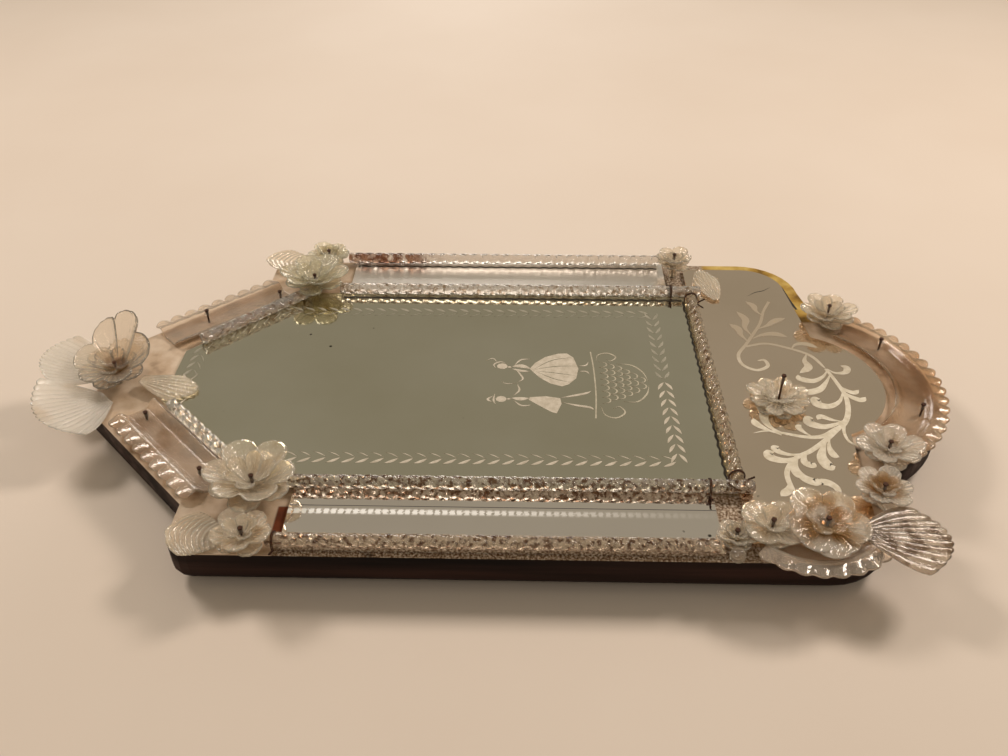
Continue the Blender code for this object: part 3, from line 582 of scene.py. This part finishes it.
def clear_glass(
    name, tint, stain, low, high, scale=26.0, ripple=0.4, see_through=0.78, grit=160.0, above=None, heart=None
):
    """Hand-worked clear glass, smooth and rippled under old dust. It is stained where clouds, scale of them
    to the metre, pass low to high, and grit counts its ripples to the metre. The stain keeps above a height,
    or within a heart, a spot and a distance."""
    material, tree, shader = finish(name, Roughness=0.04, Transmission_Weight=see_through, IOR=1.5)
    coords = put(tree, "TexCoord", out="Object")
    stained = put(tree, "MapRange", {0: clouds(tree, coords, scale, 5.0), 1: low, 2: high}, **SMOOTH)
    if above is not None:
        height = put(tree, "SeparateXYZ", {0: coords}, out="Z")
        upper = put(tree, "MapRange", {0: height, 1: above - 0.02, 2: above + 0.02}, **SMOOTH)
        stained = overlap(tree, stained, upper)
    if heart is not None:
        away = put(tree, "VectorMath", {0: coords, 1: heart[0]}, out="Value", operation="DISTANCE")
        inner = put(tree, "MapRange", {0: away, 1: heart[1], 2: heart[1] * 0.4}, **SMOOTH)
        stained = overlap(tree, stained, inner)
    glass_tone = put(tree, "Mix", {0: stained, 6: tone(tint), 7: tone(stain)}, **COLOURS)
    tree.links.new(glass_tone, shader.inputs["Base Color"])
    ripples = clouds(tree, coords, grit, 3.0)
    relief = put(tree, "Bump", {"Height": ripples, "Strength": ripple, "Distance": 0.0006})
    tree.links.new(relief, shader.inputs["Normal"])
    return material


def twisted_rod(name, start, end, height, material):
    """A rope-twisted rod from start to end on the face: its ridged section is spun while it moves along."""
    way = Vector(end) - Vector(start)
    along = way.normalized()
    count = round(way.length / ROD_STEP)
    bm = bmesh.new()
    for vert in bmesh.ops.create_circle(bm, segments=ROD_CORNERS, radius=ROD_RADIUS)["verts"]:
        angle = math.atan2(vert.co.y, vert.co.x)  # four ridges, scored with finer lines
        vert.co *= 0.78 + 0.20 * abs(math.cos(2 * angle)) ** 0.7 + 0.02 * math.cos(16 * angle)
    drawn = {"axis": (0, 0, 1), "dvec": (0, 0, way.length / count), "steps": count}
    bmesh.ops.spin(bm, geom=bm.edges[:], cent=(0, 0, 0), angle=math.tau * way.length / ROD_LEAD, **drawn)
    ends = [vert for vert in bm.verts if vert.is_boundary]
    bmesh.ops.scale(bm, vec=(ROD_END, ROD_END, 1), verts=ends)
    bmesh.ops.holes_fill(bm, edges=[edge for edge in bm.edges if edge.is_boundary], sides=0)
    bmesh.ops.recalc_face_normals(bm, faces=bm.faces)
    laid = Matrix(((-along.y, 0, along.x), (along.x, 0, along.y), (0, 1, 0))).to_4x4()
    bmesh.ops.transform(bm, matrix=Matrix.Translation((*start, height)) @ laid, verts=bm.verts)
    rod = stand(name + "_twisted", bm, material)
    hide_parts(name)


# The left rods and the bar are the dirtiest, and the right outer rod is stained at its top
ROD_GRIT = 500.0  # 2 mm ripples
rod_glass = clear_glass("twisted_rod_glass", "F4EEE6", "A88A6C", 0.50, 0.66, 260.0, 0.6, grit=ROD_GRIT)
dirty_rod = clear_glass("browned_rod_glass", "EFE5D8", "765036", 0.46, 0.60, 300.0, 0.8, grit=ROD_GRIT)
edge_rod = clear_glass("beige_rod_glass", "E2CFB8", "6E4E38", 0.46, 0.62, 300.0, 0.8, 0.70, ROD_GRIT)
far_rod = clear_glass("stained_rod_glass", "F2EAE0", "7A4E36", 0.44, 0.54, 110.0, 0.6, 0.78, ROD_GRIT, -0.07)
bar_glass = clear_glass("bar_rod_glass", "E6D6BC", "8E6C48", 0.48, 0.62, 220.0, 0.6, grit=ROD_GRIT)
ROD_GLASS = {
    "cross_bar_rod": bar_glass,
    "left_inner_rod": dirty_rod,
    "left_outer_rod": edge_rod,
    "right_outer_rod": far_rod,
}
for node in VERTICAL_RODS + ("left_slanted_rod", "right_slanted_rod", "cross_bar_rod"):
    low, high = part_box(node)
    height = BOARD_FRONT - (low[1] + high[1]) / 2
    middle_x, middle_z = (low[0] + high[0]) / 2, (low[2] + high[2]) / 2
    trim = ROD_RADIUS * SLANT
    if node in VERTICAL_RODS:
        start, end = (middle_x, low[2]), (middle_x, high[2])
    elif node == "cross_bar_rod":
        start, end = (low[0], middle_z), (high[0], middle_z)
    elif middle_x < 0:
        start, end = (low[0] + trim, low[2] + trim), (high[0] - trim, high[2] - trim)
    else:
        start, end = (high[0] - trim, low[2] + trim), (low[0] + trim, high[2] - trim)
    twisted_rod(node, start, end, height, ROD_GLASS.get(node, rod_glass))

# Dark lines on the plates beside the rods: start, end and width of each line, which follows the rods' ridges
BAR_LEVEL = -0.330
DARK_LINES_BESIDE_RODS = [
    ((-0.129, BAR_LEVEL + 0.0066), (0.129, BAR_LEVEL + 0.0066), 0.0020),
    ((-0.129, BAR_LEVEL - 0.0066), (0.129, BAR_LEVEL - 0.0066), 0.0016),
    ((0.1298, -0.322), (0.1298, 0.012), 0.0034),
    ((0.1908, -0.304), (0.1908, 0.006), 0.0024),
]
bm = bmesh.new()
for start, end, width in DARK_LINES_BESIDE_RODS:
    start, end = Vector(start), Vector(end)
    side = Vector((start.y - end.y, end.x - start.x)).normalized() * 0.0006
    count = round((end - start).length / ROD_LEAD * 8)
    waves = [start + (end - start) * k / count + side * (-1) ** k for k in range(count + 1)]
    ribbon(bm, waves, even(width), PLATE_FACE + CUT_LIFT, count * 3)
stand("dark_lines_beside_rods", bm, dark_line, smooth=False)

# The pressed bands
# Gutters of clear glass along the crown's slants and round the lobe, pressed with a raised lip on both
# sides. The outer lip is pinched like a pie crust while hot. The left shoulder keeps a narrow such shelf.
BAND_THICK = 0.0024
LIP_INNER = -0.020
FLOOR_IN = -0.011
FLOOR_OUT = 0.004
LIP_OUTER = 0.012
FRILL_EDGE = 0.024
LIP_HEIGHT = 0.0085
FRILL_FALL = 0.0025
FRILL_DEPTH = 0.0040
FRILL_PITCH = 0.014
BAND_FLOOR = 0.0016
CHAMFER_SUM = 0.213
CHAMFER_LENGTH = 0.126
CHAMFER_SHIFT = -0.010
LOBE_LEVEL = -0.405
RIGHT_SWING = 0.007
LOBE_RADIUS = 0.1015
LOBE_SWEEP = math.radians(108)
SHOULDER_CENTRE = (-0.160, -0.376)
SHOULDER_RADIUS = 0.0435
SHOULDER_FROM = math.radians(135)
SHOULDER_TO = math.radians(228)


def sheet(name, layers, thick, material, closed=False):
    """Sheets of glass in one piece, given their thickness and soft edges. Each layer is the counts of a grid
    and the shape(u, v) that places it."""
    bm = bmesh.new()
    for across, along, shape in layers:
        for vert in bmesh.ops.create_grid(bm, x_segments=across, y_segments=along, size=0.5)["verts"]:
            vert.co = shape(vert.co.x + 0.5, vert.co.y + 0.5)
    if closed:
        bmesh.ops.remove_doubles(bm, verts=bm.verts, dist=1e-6)
    piece = stand(name, bm, material)
    wall = piece.modifiers.new("thickness", "SOLIDIFY")
    wall.thickness = thick
    wall.offset = 0
    softened = piece.modifiers.new("soft edges", "SUBSURF")
    softened.levels = softened.render_levels = 1
    return piece


def lip(share):
    return share * share * (3 - 2 * share)


def band(name, edge_length, path, material, lift=0.0, start=LIP_INNER):
    """A pressed band. path(s, out) gives the point at a share s of its length, out from its middle line."""
    scallops = round(edge_length / FRILL_PITCH)

    def shape(u, v):
        out = start + (FRILL_EDGE - start) * v
        height = lift + BAND_FLOOR
        if out < FLOOR_IN:
            height += (LIP_HEIGHT - BAND_FLOOR) * lip((FLOOR_IN - out) / (FLOOR_IN - LIP_INNER))
        elif out > LIP_OUTER:
            past = (out - LIP_OUTER) / (FRILL_EDGE - LIP_OUTER)
            wave = 1 - 2 * abs(math.sin(math.pi * scallops * u)) ** 0.8
            height += LIP_HEIGHT - BAND_FLOOR - FRILL_FALL * past - FRILL_DEPTH * 0.28 * wave * past
            out += FRILL_DEPTH * (-wave - 1) / 2 * past
        elif out > FLOOR_OUT:
            height += (LIP_HEIGHT - BAND_FLOOR) * lip((out - FLOOR_OUT) / (LIP_OUTER - FLOOR_OUT))
        x, y = path(u, out)
        return Vector((x, y, height))

    made = sheet(name + "_pressed", [(scallops * 10, 22, shape)], BAND_THICK, material)
    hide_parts(name)


def slanted(side, swing=0.0):
    def path(s, out):
        along = (s - 0.5) * CHAMFER_LENGTH
        past = out + swing * (1 - s)
        x = CHAMFER_SUM / 2 + CHAMFER_SHIFT + (along + past) * SLANT
        y = CHAMFER_SUM / 2 - CHAMFER_SHIFT + (past - along) * SLANT
        return side * x, y

    return path


def round_path(centre, radius, start, end):
    def path(s, out):
        angle = start + (end - start) * s
        reach = radius + out
        return centre[0] + reach * math.cos(angle), centre[1] + reach * math.sin(angle)

    return path


# Dusty glass over worn silvering, browner round the lobe
band_glass = clear_glass("pressed_band_glass", "F6E6D4", "D2B290", 0.54, 0.78, 20.0, 0.6, 0.80, 300.0)
lobe_glass = clear_glass("browned_band_glass", "F4DFC6", "C9A47C", 0.42, 0.66, 14.0, 0.6, 0.80, 300.0)
band("left_slanted_band", CHAMFER_LENGTH, slanted(-1), band_glass)
band("right_slanted_band", CHAMFER_LENGTH, slanted(1, RIGHT_SWING), band_glass)
lobe_start = -math.pi / 2 - LOBE_SWEEP / 2
lobe_path = round_path((0, LOBE_LEVEL), LOBE_RADIUS, lobe_start, lobe_start + LOBE_SWEEP)
band("lobe_band", (LOBE_RADIUS + FRILL_EDGE) * LOBE_SWEEP, lobe_path, lobe_glass)
shoulder_path = round_path(SHOULDER_CENTRE, SHOULDER_RADIUS, SHOULDER_FROM, SHOULDER_TO)
shoulder_length = (SHOULDER_RADIUS + FRILL_EDGE) * (SHOULDER_TO - SHOULDER_FROM)
band("left_shoulder_band", shoulder_length, shoulder_path, band_glass, PLATE_FACE, -0.009)

# The flowers
# Blown and tooled from clear glass: a hollow stem opens to round ribbed petals, each turned a little
# differently, with a tighter heart of petals inside. The crown's flower has two petals pulled upright. Some
# hearts are stained amber.
STEM = 0.0032
STEM_FLARE = 1.12  # how much the stem widens to its throat
STEM_SHARE = 0.25  # of the rows from foot to rim
PETAL_THICK = 0.0018
PETAL_STEPS = 22
FLOWER_ROWS = 12
RIB_DEPTH = 0.00042
HEART_REACH = 0.56  # of the flower's radius
SKIRT_REACH = 0.93
# Each flower's radius, throat, flare, petals and ribs on a petal
FLOWERS = {
    "left_upper_inner_flower": (0.0355, 0.0135, 0.0135, 6, 5),
    "right_upper_inner_flower": (0.0330, 0.0135, 0.0135, 6, 5),
    "left_upper_outer_flower": (0.0225, 0.0135, 0.0065, 5, 5),
    "right_upper_outer_flower": (0.0215, 0.0135, 0.0060, 5, 5),
    "left_bar_bud": (0.0145, 0.0065, 0.0050, 5, 3),
    "right_bar_flower": (0.0185, 0.0155, 0.011, 5, 5),
    "left_shoulder_petals": (0.0240, 0.0130, 0.0045, 4, 5),
    "left_shoulder_flower": (0.0300, 0.0205, 0.004, 5, 7),
    "left_lower_flower": (0.0220, 0.0145, 0.006, 6, 5),
    "left_junction_flower": (0.0260, 0.0125, 0.0065, 6, 5),
    "right_junction_flower": (0.0260, 0.0125, 0.0095, 6, 5),
    "lower_rosette": (0.0270, 0.0080, 0.004, 8, 3),
    "top_flower": (0.0330, 0.0150, 0.007, 6, 5),
}
# The stain of an amber heart, how far it reaches, how scarce it is, and how see-through that flower is
AMBER = {
    "left_shoulder_flower": ("D2AE7C", 0.034, 0.36, 0.76),
    "left_lower_flower": ("D2AE7C", 0.018, 0.42, 0.76),
    "left_junction_flower": ("D2AE7C", 0.014, 0.44, 0.76),
    "top_flower": ("C09C68", 0.016, 0.42, 0.90),
}
RIM_LEAN = {"left_shoulder_flower": 0.005}
CROWN_RISE = 0.034
CROWN_LEAN = math.radians(-18)


def flower(name, radius, throat, flare, petals, ribs, foot, spot, material):
    """A flower on a hollow stem, its petals round, ribbed and each set a little differently."""

    def rim(angle):
        if name == "top_flower":
            return flare + CROWN_RISE * (0.5 + 0.5 * math.cos(angle - CROWN_LEAN)) ** 2
        return flare + RIM_LEAN.get(name, 0) * math.cos(angle)

    def petal(turn):
        """How far across its petal a point is, from -1 to 1, how round the edge is there, and its petal."""
        inside = (turn % 1) * 2 - 1
        return inside, math.sqrt(max(0.0, 1 - 0.90 * inside * inside)), int(turn) % petals

    def point(reach, angle, height):
        return Vector((spot[0] + reach * math.cos(angle), spot[1] + reach * math.sin(angle), height))

    def outer(u, v):
        angle = math.tau * u
        inside, round_edge, number = petal(u * petals)
        if v < STEM_SHARE:
            rise = v / STEM_SHARE
            stem_reach = STEM * (1 + (STEM_FLARE - 1) * rise)
            return point(stem_reach, angle, foot + (throat - 0.0015 - foot) * rise)
        uneven = 1 + 0.05 * math.sin(number * 2.4 + radius * 900)
        tilt = 0.0012 * math.sin(number * 1.9 + throat * 700)
        past = (v - STEM_SHARE) / (1 - STEM_SHARE)
        reach_out = radius * (0.56 + 0.44 * round_edge) * uneven
        reach = STEM * STEM_FLARE + (reach_out - STEM * STEM_FLARE) * past
        fan = past**1.5
        cupped = -0.0022 * (1 - round_edge) * fan + 0.0012 * math.sin(math.pi * past)
        rib = RIB_DEPTH * math.cos(math.pi * ribs * inside) * min(1, past * 2.2)
        start = throat - 0.0015 * (1 - past)
        return point(reach, angle, start + (rim(angle) + tilt) * fan + cupped + rib)

    def skirt(u, v):
        angle = math.tau * (u + 0.5 / petals)
        inside, round_edge, number = petal(u * petals)
        uneven = 1 + 0.05 * math.sin(number * 1.7 + throat * 300)
        reach_out = radius * SKIRT_REACH * (0.55 + 0.45 * round_edge) * uneven
        reach = STEM * 1.25 + (reach_out - STEM * 1.25) * v
        under = max(0.45 * flare, 0.0012) if name != "top_flower" else 0.004 + 0.25 * rim(angle)
        rib = RIB_DEPTH * math.cos(math.pi * ribs * inside) * v
        drop = -0.0028 + 0.0011 * math.sin(number * 2.1)
        return point(reach, angle, throat + drop + under * v**1.4 + rib)

    def heart(u, v):
        angle = math.tau * (u + 0.5 / petals)
        inside, round_edge, number = petal(u * petals)
        uneven = 1 + 0.10 * math.sin(number * 3.1 + throat * 500)
        reach_out = radius * HEART_REACH * (0.5 + 0.5 * round_edge) * uneven
        reach = STEM * 0.7 + (reach_out - STEM * 0.7) * v**0.8
        rise = min(0.9 * flare, 0.30 * radius) + 0.0030 + 0.0015 * math.sin(number * 2.7)
        rib = RIB_DEPTH * math.cos(math.pi * ribs * inside) * v
        return point(reach, angle, throat + 0.0006 + rise * v**1.3 * (0.7 + 0.3 * round_edge) + rib)

    across = petals * PETAL_STEPS
    inner_rows = FLOWER_ROWS // 2
    layers = [(across, FLOWER_ROWS, outer), (across, inner_rows, heart), (across, inner_rows, skirt)]
    made = sheet(name + "_blown", layers, PETAL_THICK, material, closed=True)
    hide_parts(name)


# Blown glass is clear with a milky shimmer, from ripples of about 2 mm. The right corner's is greenish.
PETAL_STAIN = (0.52, 0.76)
PETAL_LOOK = {"scale": 60.0, "ripple": 0.9, "grit": 420.0}
petal_glass = clear_glass("petal_glass", "FFF5E4", "ECD6B8", *PETAL_STAIN, **PETAL_LOOK)
green_glass = clear_glass("greenish_petal_glass", "FCF6E2", "E2D2AE", *PETAL_STAIN, **PETAL_LOOK)
for name, settings in FLOWERS.items():
    low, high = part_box(name + "_pin")
    spot = ((low[0] + high[0]) / 2, (low[2] + high[2]) / 2)
    foot = BOARD_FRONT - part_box(name)[1][1]
    glass = green_glass if name.startswith("right_upper") else petal_glass
    if name in AMBER:
        stain, reach, scarce, see_through = AMBER[name]
        amber = ((spot[0], BOARD_FRONT - settings[1] - 0.003, spot[1]), reach)
        look = {"see_through": see_through, "heart": amber, **PETAL_LOOK}
        glass = clear_glass(name + "_glass", "FFF6E9", stain, scarce, scarce + 0.16, **look)
    flower(name, *settings, foot, spot, glass)

# The leaves
# Fans of clear glass pressed on a ribbed iron: each has ribs from a narrow root to a scalloped round edge.
# The two corner leaves are ribbed in rings instead, like shells.
LEAF_THICK = 0.0016
BOARD_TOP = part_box("backing_board")[1][2]
# Each leaf's root, its reach from there, its width, the heights of root and tip, its ribs and its rings
LEAVES = {
    "top_left_fern": ((-0.031, 0.190), (-0.045, 0.041), 0.072, 0.0015, 0.016, 15, 0),
    "top_middle_fern": ((0.002, 0.200), (0.004, 0.060), 0.062, 0.0015, 0.018, 15, 0),
    "left_lower_fern": ((-0.190, -0.407), (-0.002, -0.064), 0.062, 0.0166, 0.012, 10, 0),
    "top_bud_petal": ((-0.014, 0.166), (-0.011, -0.053), 0.034, 0.0095, 0.0058, 7, 0),
    "left_corner_leaf": ((-0.191, 0.047), (0.0035, 0.045), 0.044, 0.0016, 0.0060, 3, 11),
    "right_corner_leaf": ((0.1945, 0.0495), (0, 0.054), 0.044, 0.0016, 0.0090, 3, 11),
    "right_shell_petal": ((0.129, -0.356), (0.052, 0.010), 0.027, 0.0060, 0.0085, 7, 0),
}
LEAF_RIB = 0.0011
LOWER_RIB = 0.00075
LEAF_LEAN = {"top_left_fern": 0.011, "top_middle_fern": 0.004, "left_lower_fern": 0.003}  # to the near side
OFF_BOARD = 0.252  # |x| + z beyond the board's slants


def leaf(name, root, reach, width, root_height, tip_height, ribs, rings):
    """A fan from a narrow root to a round scalloped edge, with ribs along it or rings across it."""
    root, way = Vector(root), Vector(reach)
    side = Vector((-way.y, way.x)).normalized()

    def shape(u, v):
        spread_out = (0.22 + 0.74 * math.sin(math.radians(90 * v))) * width / 2
        across = (u - 0.5) * 2
        ridge = abs(math.sin(math.pi * ribs * u)) ** 0.8
        length = (1 - 0.36 * across * across) * (1 - 0.03 * (1 - ridge) * v)
        flat = root + way * v * length * 0.985 + side * spread_out * across
        rib = LOWER_RIB if name == "left_lower_fern" else LEAF_RIB
        relief = rib * (ridge - 0.5) * min(1, 2.5 * v)
        if rings:
            relief = LEAF_RIB * 0.45 * math.cos(math.tau * rings * v)
        sag = 0.0018 * across * across * v
        height = root_height + (tip_height - root_height) * v + relief - sag * 0.5
        height -= LEAF_LEAN.get(name, 0) * across * v * (1 if side.x < 0 else -1)
        on_board = abs(flat.x) + flat.y < OFF_BOARD and flat.y < BOARD_TOP
        return Vector((flat.x, flat.y, max(height, LEAF_THICK / 2 + 0.0003) if on_board else height))

    glass = FERN_GLASS.get(name, leaf_glass)
    made = sheet(name + "_ribbed", [(max(ribs * 8, 30), max(14, rings * 6), shape)], LEAF_THICK, glass)
    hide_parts(name)


# Pressed glass, whitest at the crown and greyer at the lower left
LEAF_GRIT = 420.0
leaf_glass = clear_glass("ribbed_leaf_glass", "FFF4E2", "E8D2B4", 0.54, 0.78, 24.0, 0.8, 0.74, LEAF_GRIT)
bright_leaf = clear_glass("bright_leaf_glass", "FFF9F0", "F0DFCA", 0.54, 0.78, 24.0, 0.8, 0.66, LEAF_GRIT)
grey_leaf = clear_glass("greyed_leaf_glass", "CFC0AE", "907A64", 0.44, 0.62, 90.0, 0.8, 0.84, LEAF_GRIT)
FERN_GLASS = {"top_left_fern": bright_leaf, "top_middle_fern": bright_leaf, "left_lower_fern": grey_leaf}
for name, settings in LEAVES.items():
    leaf(name, *settings)

# The bead, the pins and the wire ties
# Iron pins hold the flowers and the bands, rusted brown, with a small clear bead under each head. Thin iron
# wire ties the rods where they cross, its ends twisted up. The bead by the left shoulder is clear glass.
rust, tree, shader = finish("rusty_iron", Metallic=0.55)
bloom = clouds(tree, put(tree, "TexCoord", out="Object"), 900.0, 4.0)
rust_tone = put(tree, "ValToRGB", {0: bloom}, {0.30: "1E120C", 0.55: "4A2A18", 0.80: "7A4A28"})
tree.links.new(rust_tone, shader.inputs["Base Color"])
tree.links.new(put(tree, "MapRange", {0: bloom, 1: -0.3, 2: 1.0}, **SMOOTH), shader.inputs["Roughness"])
relief = put(tree, "Bump", {"Height": bloom, "Strength": 0.5, "Distance": 0.0003})
tree.links.new(relief, shader.inputs["Normal"])
pins = [node for node in nodes if node.endswith("_pin") or "_pin_" in node]
for node in pins:
    wear(node, rust)

# Clearer and smoother than the petals
bead_glass = clear_glass("bead_glass", "FFF6E8", "E6D2B6", 0.60, 0.80, 60.0, 0.2, 0.92)
BEAD = 0.0024
BIG_BEADS = {"left_shoulder_flower_pin": 0.0062, "lower_rosette_pin": 0.0036}
bm = bmesh.new()
for node in pins:
    low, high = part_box(node)
    head = BOARD_FRONT - low[1]
    size = BIG_BEADS.get(node, BEAD)
    middle = Matrix.Translation(((low[0] + high[0]) / 2, (low[2] + high[2]) / 2, head - 0.0014 - size))
    bmesh.ops.create_uvsphere(bm, u_segments=24, v_segments=14, radius=size, matrix=middle)
stand("pin_beads", bm, bead_glass)

low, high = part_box("left_bead")
bm = bmesh.new()
middle = ((low[0] + high[0]) / 2, (low[2] + high[2]) / 2, BOARD_FRONT - (low[1] + high[1]) / 2)
reach = (high[2] - low[2]) / 2 * 0.99
bmesh.ops.create_uvsphere(bm, u_segments=32, v_segments=20, radius=reach, matrix=Matrix.Translation(middle))
bead = stand("left_bead_blown", bm, bead_glass)
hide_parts("left_bead")

WIRE = 0.00045
TIES = {
    "left_inner_tie": ((-0.138, -0.308), (1, 0)),
    "bar_left_tie": ((-0.126, -0.330), (0, 1)),
    "left_outer_tie": ((-0.198, 0.010), (1, 0)),
    "right_inner_tie": ((0.138, -0.312), (1, 0)),
    "bar_right_tie": ((0.126, -0.330), (0, 1)),
}


def tie(name, spot, across):
    """A wire loop over a rod, its ends twisted together beside it."""
    across = Vector(across)
    reach = ROD_RADIUS + WIRE
    axis = PLATE_FACE + 0.0003 + ROD_RADIUS
    points = []
    for k in range(13):
        angle = math.pi * k / 12
        flat = Vector(spot) + across * reach * math.cos(angle)
        points.append((flat.x, flat.y, axis + reach * math.sin(angle)))
    first = Vector(spot) + across * reach
    last = Vector(spot) - across * reach
    points.insert(0, (first.x, first.y, PLATE_FACE + WIRE))
    points.append((last.x, last.y, PLATE_FACE + WIRE))
    curve = bpy.data.curves.new(name, "CURVE")
    curve.dimensions = "3D"
    curve.bevel_depth = WIRE
    curve.bevel_resolution = 2
    along = Vector((-across.y, across.x)) * 0.0011
    strands = [points, [(x + along.x, y + along.y, z) for x, y, z in points]]
    for phase in (0, math.pi):
        twist = []
        for k in range(15):
            angle = phase + k * 0.9
            out = Vector(spot) - across * (reach + 0.0006 + k * 0.0005)
            x = out.x + along.x * (0.5 + 0.45 * math.cos(angle))
            y = out.y + along.y * (0.5 + 0.45 * math.cos(angle))
            twist.append((x, y, PLATE_FACE + WIRE * 2 + 0.0042 * k / 14 + 0.0005 * math.sin(angle)))
        strands.append(twist)
    for strand in strands:
        spline = curve.splines.new("POLY")
        spline.points.add(len(strand) - 1)
        for point, (x, y, z) in zip(spline.points, strand):
            point.co = (*(STAND @ Vector((x, y, z))), 1)
    curve.materials.append(rust)
    wire = bpy.data.objects.new(name, curve)
    bpy.context.scene.collection.objects.link(wire)
    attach(wire, "root")


for name, (spot, across) in TIES.items():
    tie(name, spot, across)

# The hanging plate
# Zinc-plated steel let flush into the board's back, with two countersunk screws. The spangle of the plating
# shows as faint clouds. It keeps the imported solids.
zinc, tree, shader = finish("zinc_plate", Metallic=1.0)
spangle = clouds(tree, put(tree, "TexCoord", out="Object"), 420.0, 3.0)
spangle_tone = put(tree, "ValToRGB", {0: spangle}, {0.3: "8C8C88", 0.7: "B9B9B4"})
tree.links.new(spangle_tone, shader.inputs["Base Color"])
tree.links.new(put(tree, "MapRange", {0: spangle, 1: -0.4, 2: 1.6}, **SMOOTH), shader.inputs["Roughness"])
for node in ("hanging_plate", "hanger_screw_1", "hanger_screw_2"):
    wear(node, zinc)

# The table, the light and the camera
# The mirror lies on a pale table, so here the table stands behind it. Its back is see-through, for the
# views from behind. Soft lamps stand off the mirror's top, foot and sides, in a grey olive room.
TABLE_BEHIND = 0.0110
TABLE_REACH = 4.0
table_tone, tree, shader = finish("pale_table", Roughness=0.75)
cloth = clouds(tree, put(tree, "TexCoord", out="Object"), 3.0, 6.0)
cloth = put(tree, "ValToRGB", {0: cloth}, {0.3: "E0CFC0", 0.7: "E4D4C6"})
tree.links.new(cloth, shader.inputs["Base Color"])
behind = put(tree, "NewGeometry", out="Backfacing")
shadow_ray = put(tree, "LightPath", out="Is Shadow Ray")
hidden = put(tree, "Math", {0: behind, 1: shadow_ray}, operation="MAXIMUM")
mixed = put(tree, "MixShader", {0: hidden, 1: shader.outputs["BSDF"], 2: put(tree, "BsdfTransparent")})
tree.links.new(mixed, tree.nodes["Material Output"].inputs["Surface"])
bm = bmesh.new()
bmesh.ops.create_grid(bm, x_segments=1, y_segments=1, size=TABLE_REACH)
upright = Matrix.Translation((0, TABLE_BEHIND, 0)) @ Matrix.Rotation(math.radians(90), 4, "X")
bmesh.ops.transform(bm, matrix=upright, verts=bm.verts)
table_mesh = bpy.data.meshes.new("table")
bm.to_mesh(table_mesh)
bm.free()
table_mesh.materials.append(table_tone)
table = bpy.data.objects.new("table", table_mesh)
bpy.context.scene.collection.objects.link(table)

LAMPS = {
    "crown_lamp": ((0.75, -1.65, 1.10), 0.5, 16.5, "FFF6EC"),
    "foot_lamp": ((0.65, -1.65, -1.60), 0.5, 24.0, "FFF4E8"),
    "near_lamp": ((-1.7, -1.9, -0.1), 0.4, 3.5, "FFF8F0"),
    "window_lamp": ((2.4, -0.50, 0.0), 0.8, 9.5, "FFFAF4"),
}
aim = Vector((0, 0, -0.15))
for name, (spot, size, power, colour) in LAMPS.items():
    light = bpy.data.lights.new(name, "AREA")
    light.size, light.energy, light.color = size, power, tone(colour)[:3]
    lamp = bpy.data.objects.new(name, light)
    lamp.location = spot
    lamp.rotation_euler = (aim - Vector(spot)).to_track_quat("-Z", "Y").to_euler()
    bpy.context.scene.collection.objects.link(lamp)

room = bpy.data.worlds.new("room")
room.use_nodes = True
sky = room.node_tree.nodes["Background"]
sky.inputs["Color"].default_value = tone("A19A8A")
sky.inputs["Strength"].default_value = 0.85
bpy.context.scene.world = room
bpy.context.scene.view_settings.view_transform = "Standard"

LENS = 33.2
SEEN_FROM = Vector((-0.6488, -0.5278, -0.1619))
FORWARD = Vector((0.7943, 0.6074, 0.0153)).normalized()
RIGHT = FORWARD.cross(Vector((0.6073, -0.7944, 0.0117))).normalized()
UP = RIGHT.cross(FORWARD)
view = bpy.data.cameras.new("photo_view")
view.lens, view.sensor_width, view.clip_start = LENS, 36.0, 0.01
camera = bpy.data.objects.new("photo_view", view)
turned = Matrix((RIGHT, UP, -FORWARD)).transposed().to_4x4()
camera.matrix_world = Matrix.Translation(SEEN_FROM) @ turned
bpy.context.scene.collection.objects.link(camera)
bpy.context.scene.camera = camera
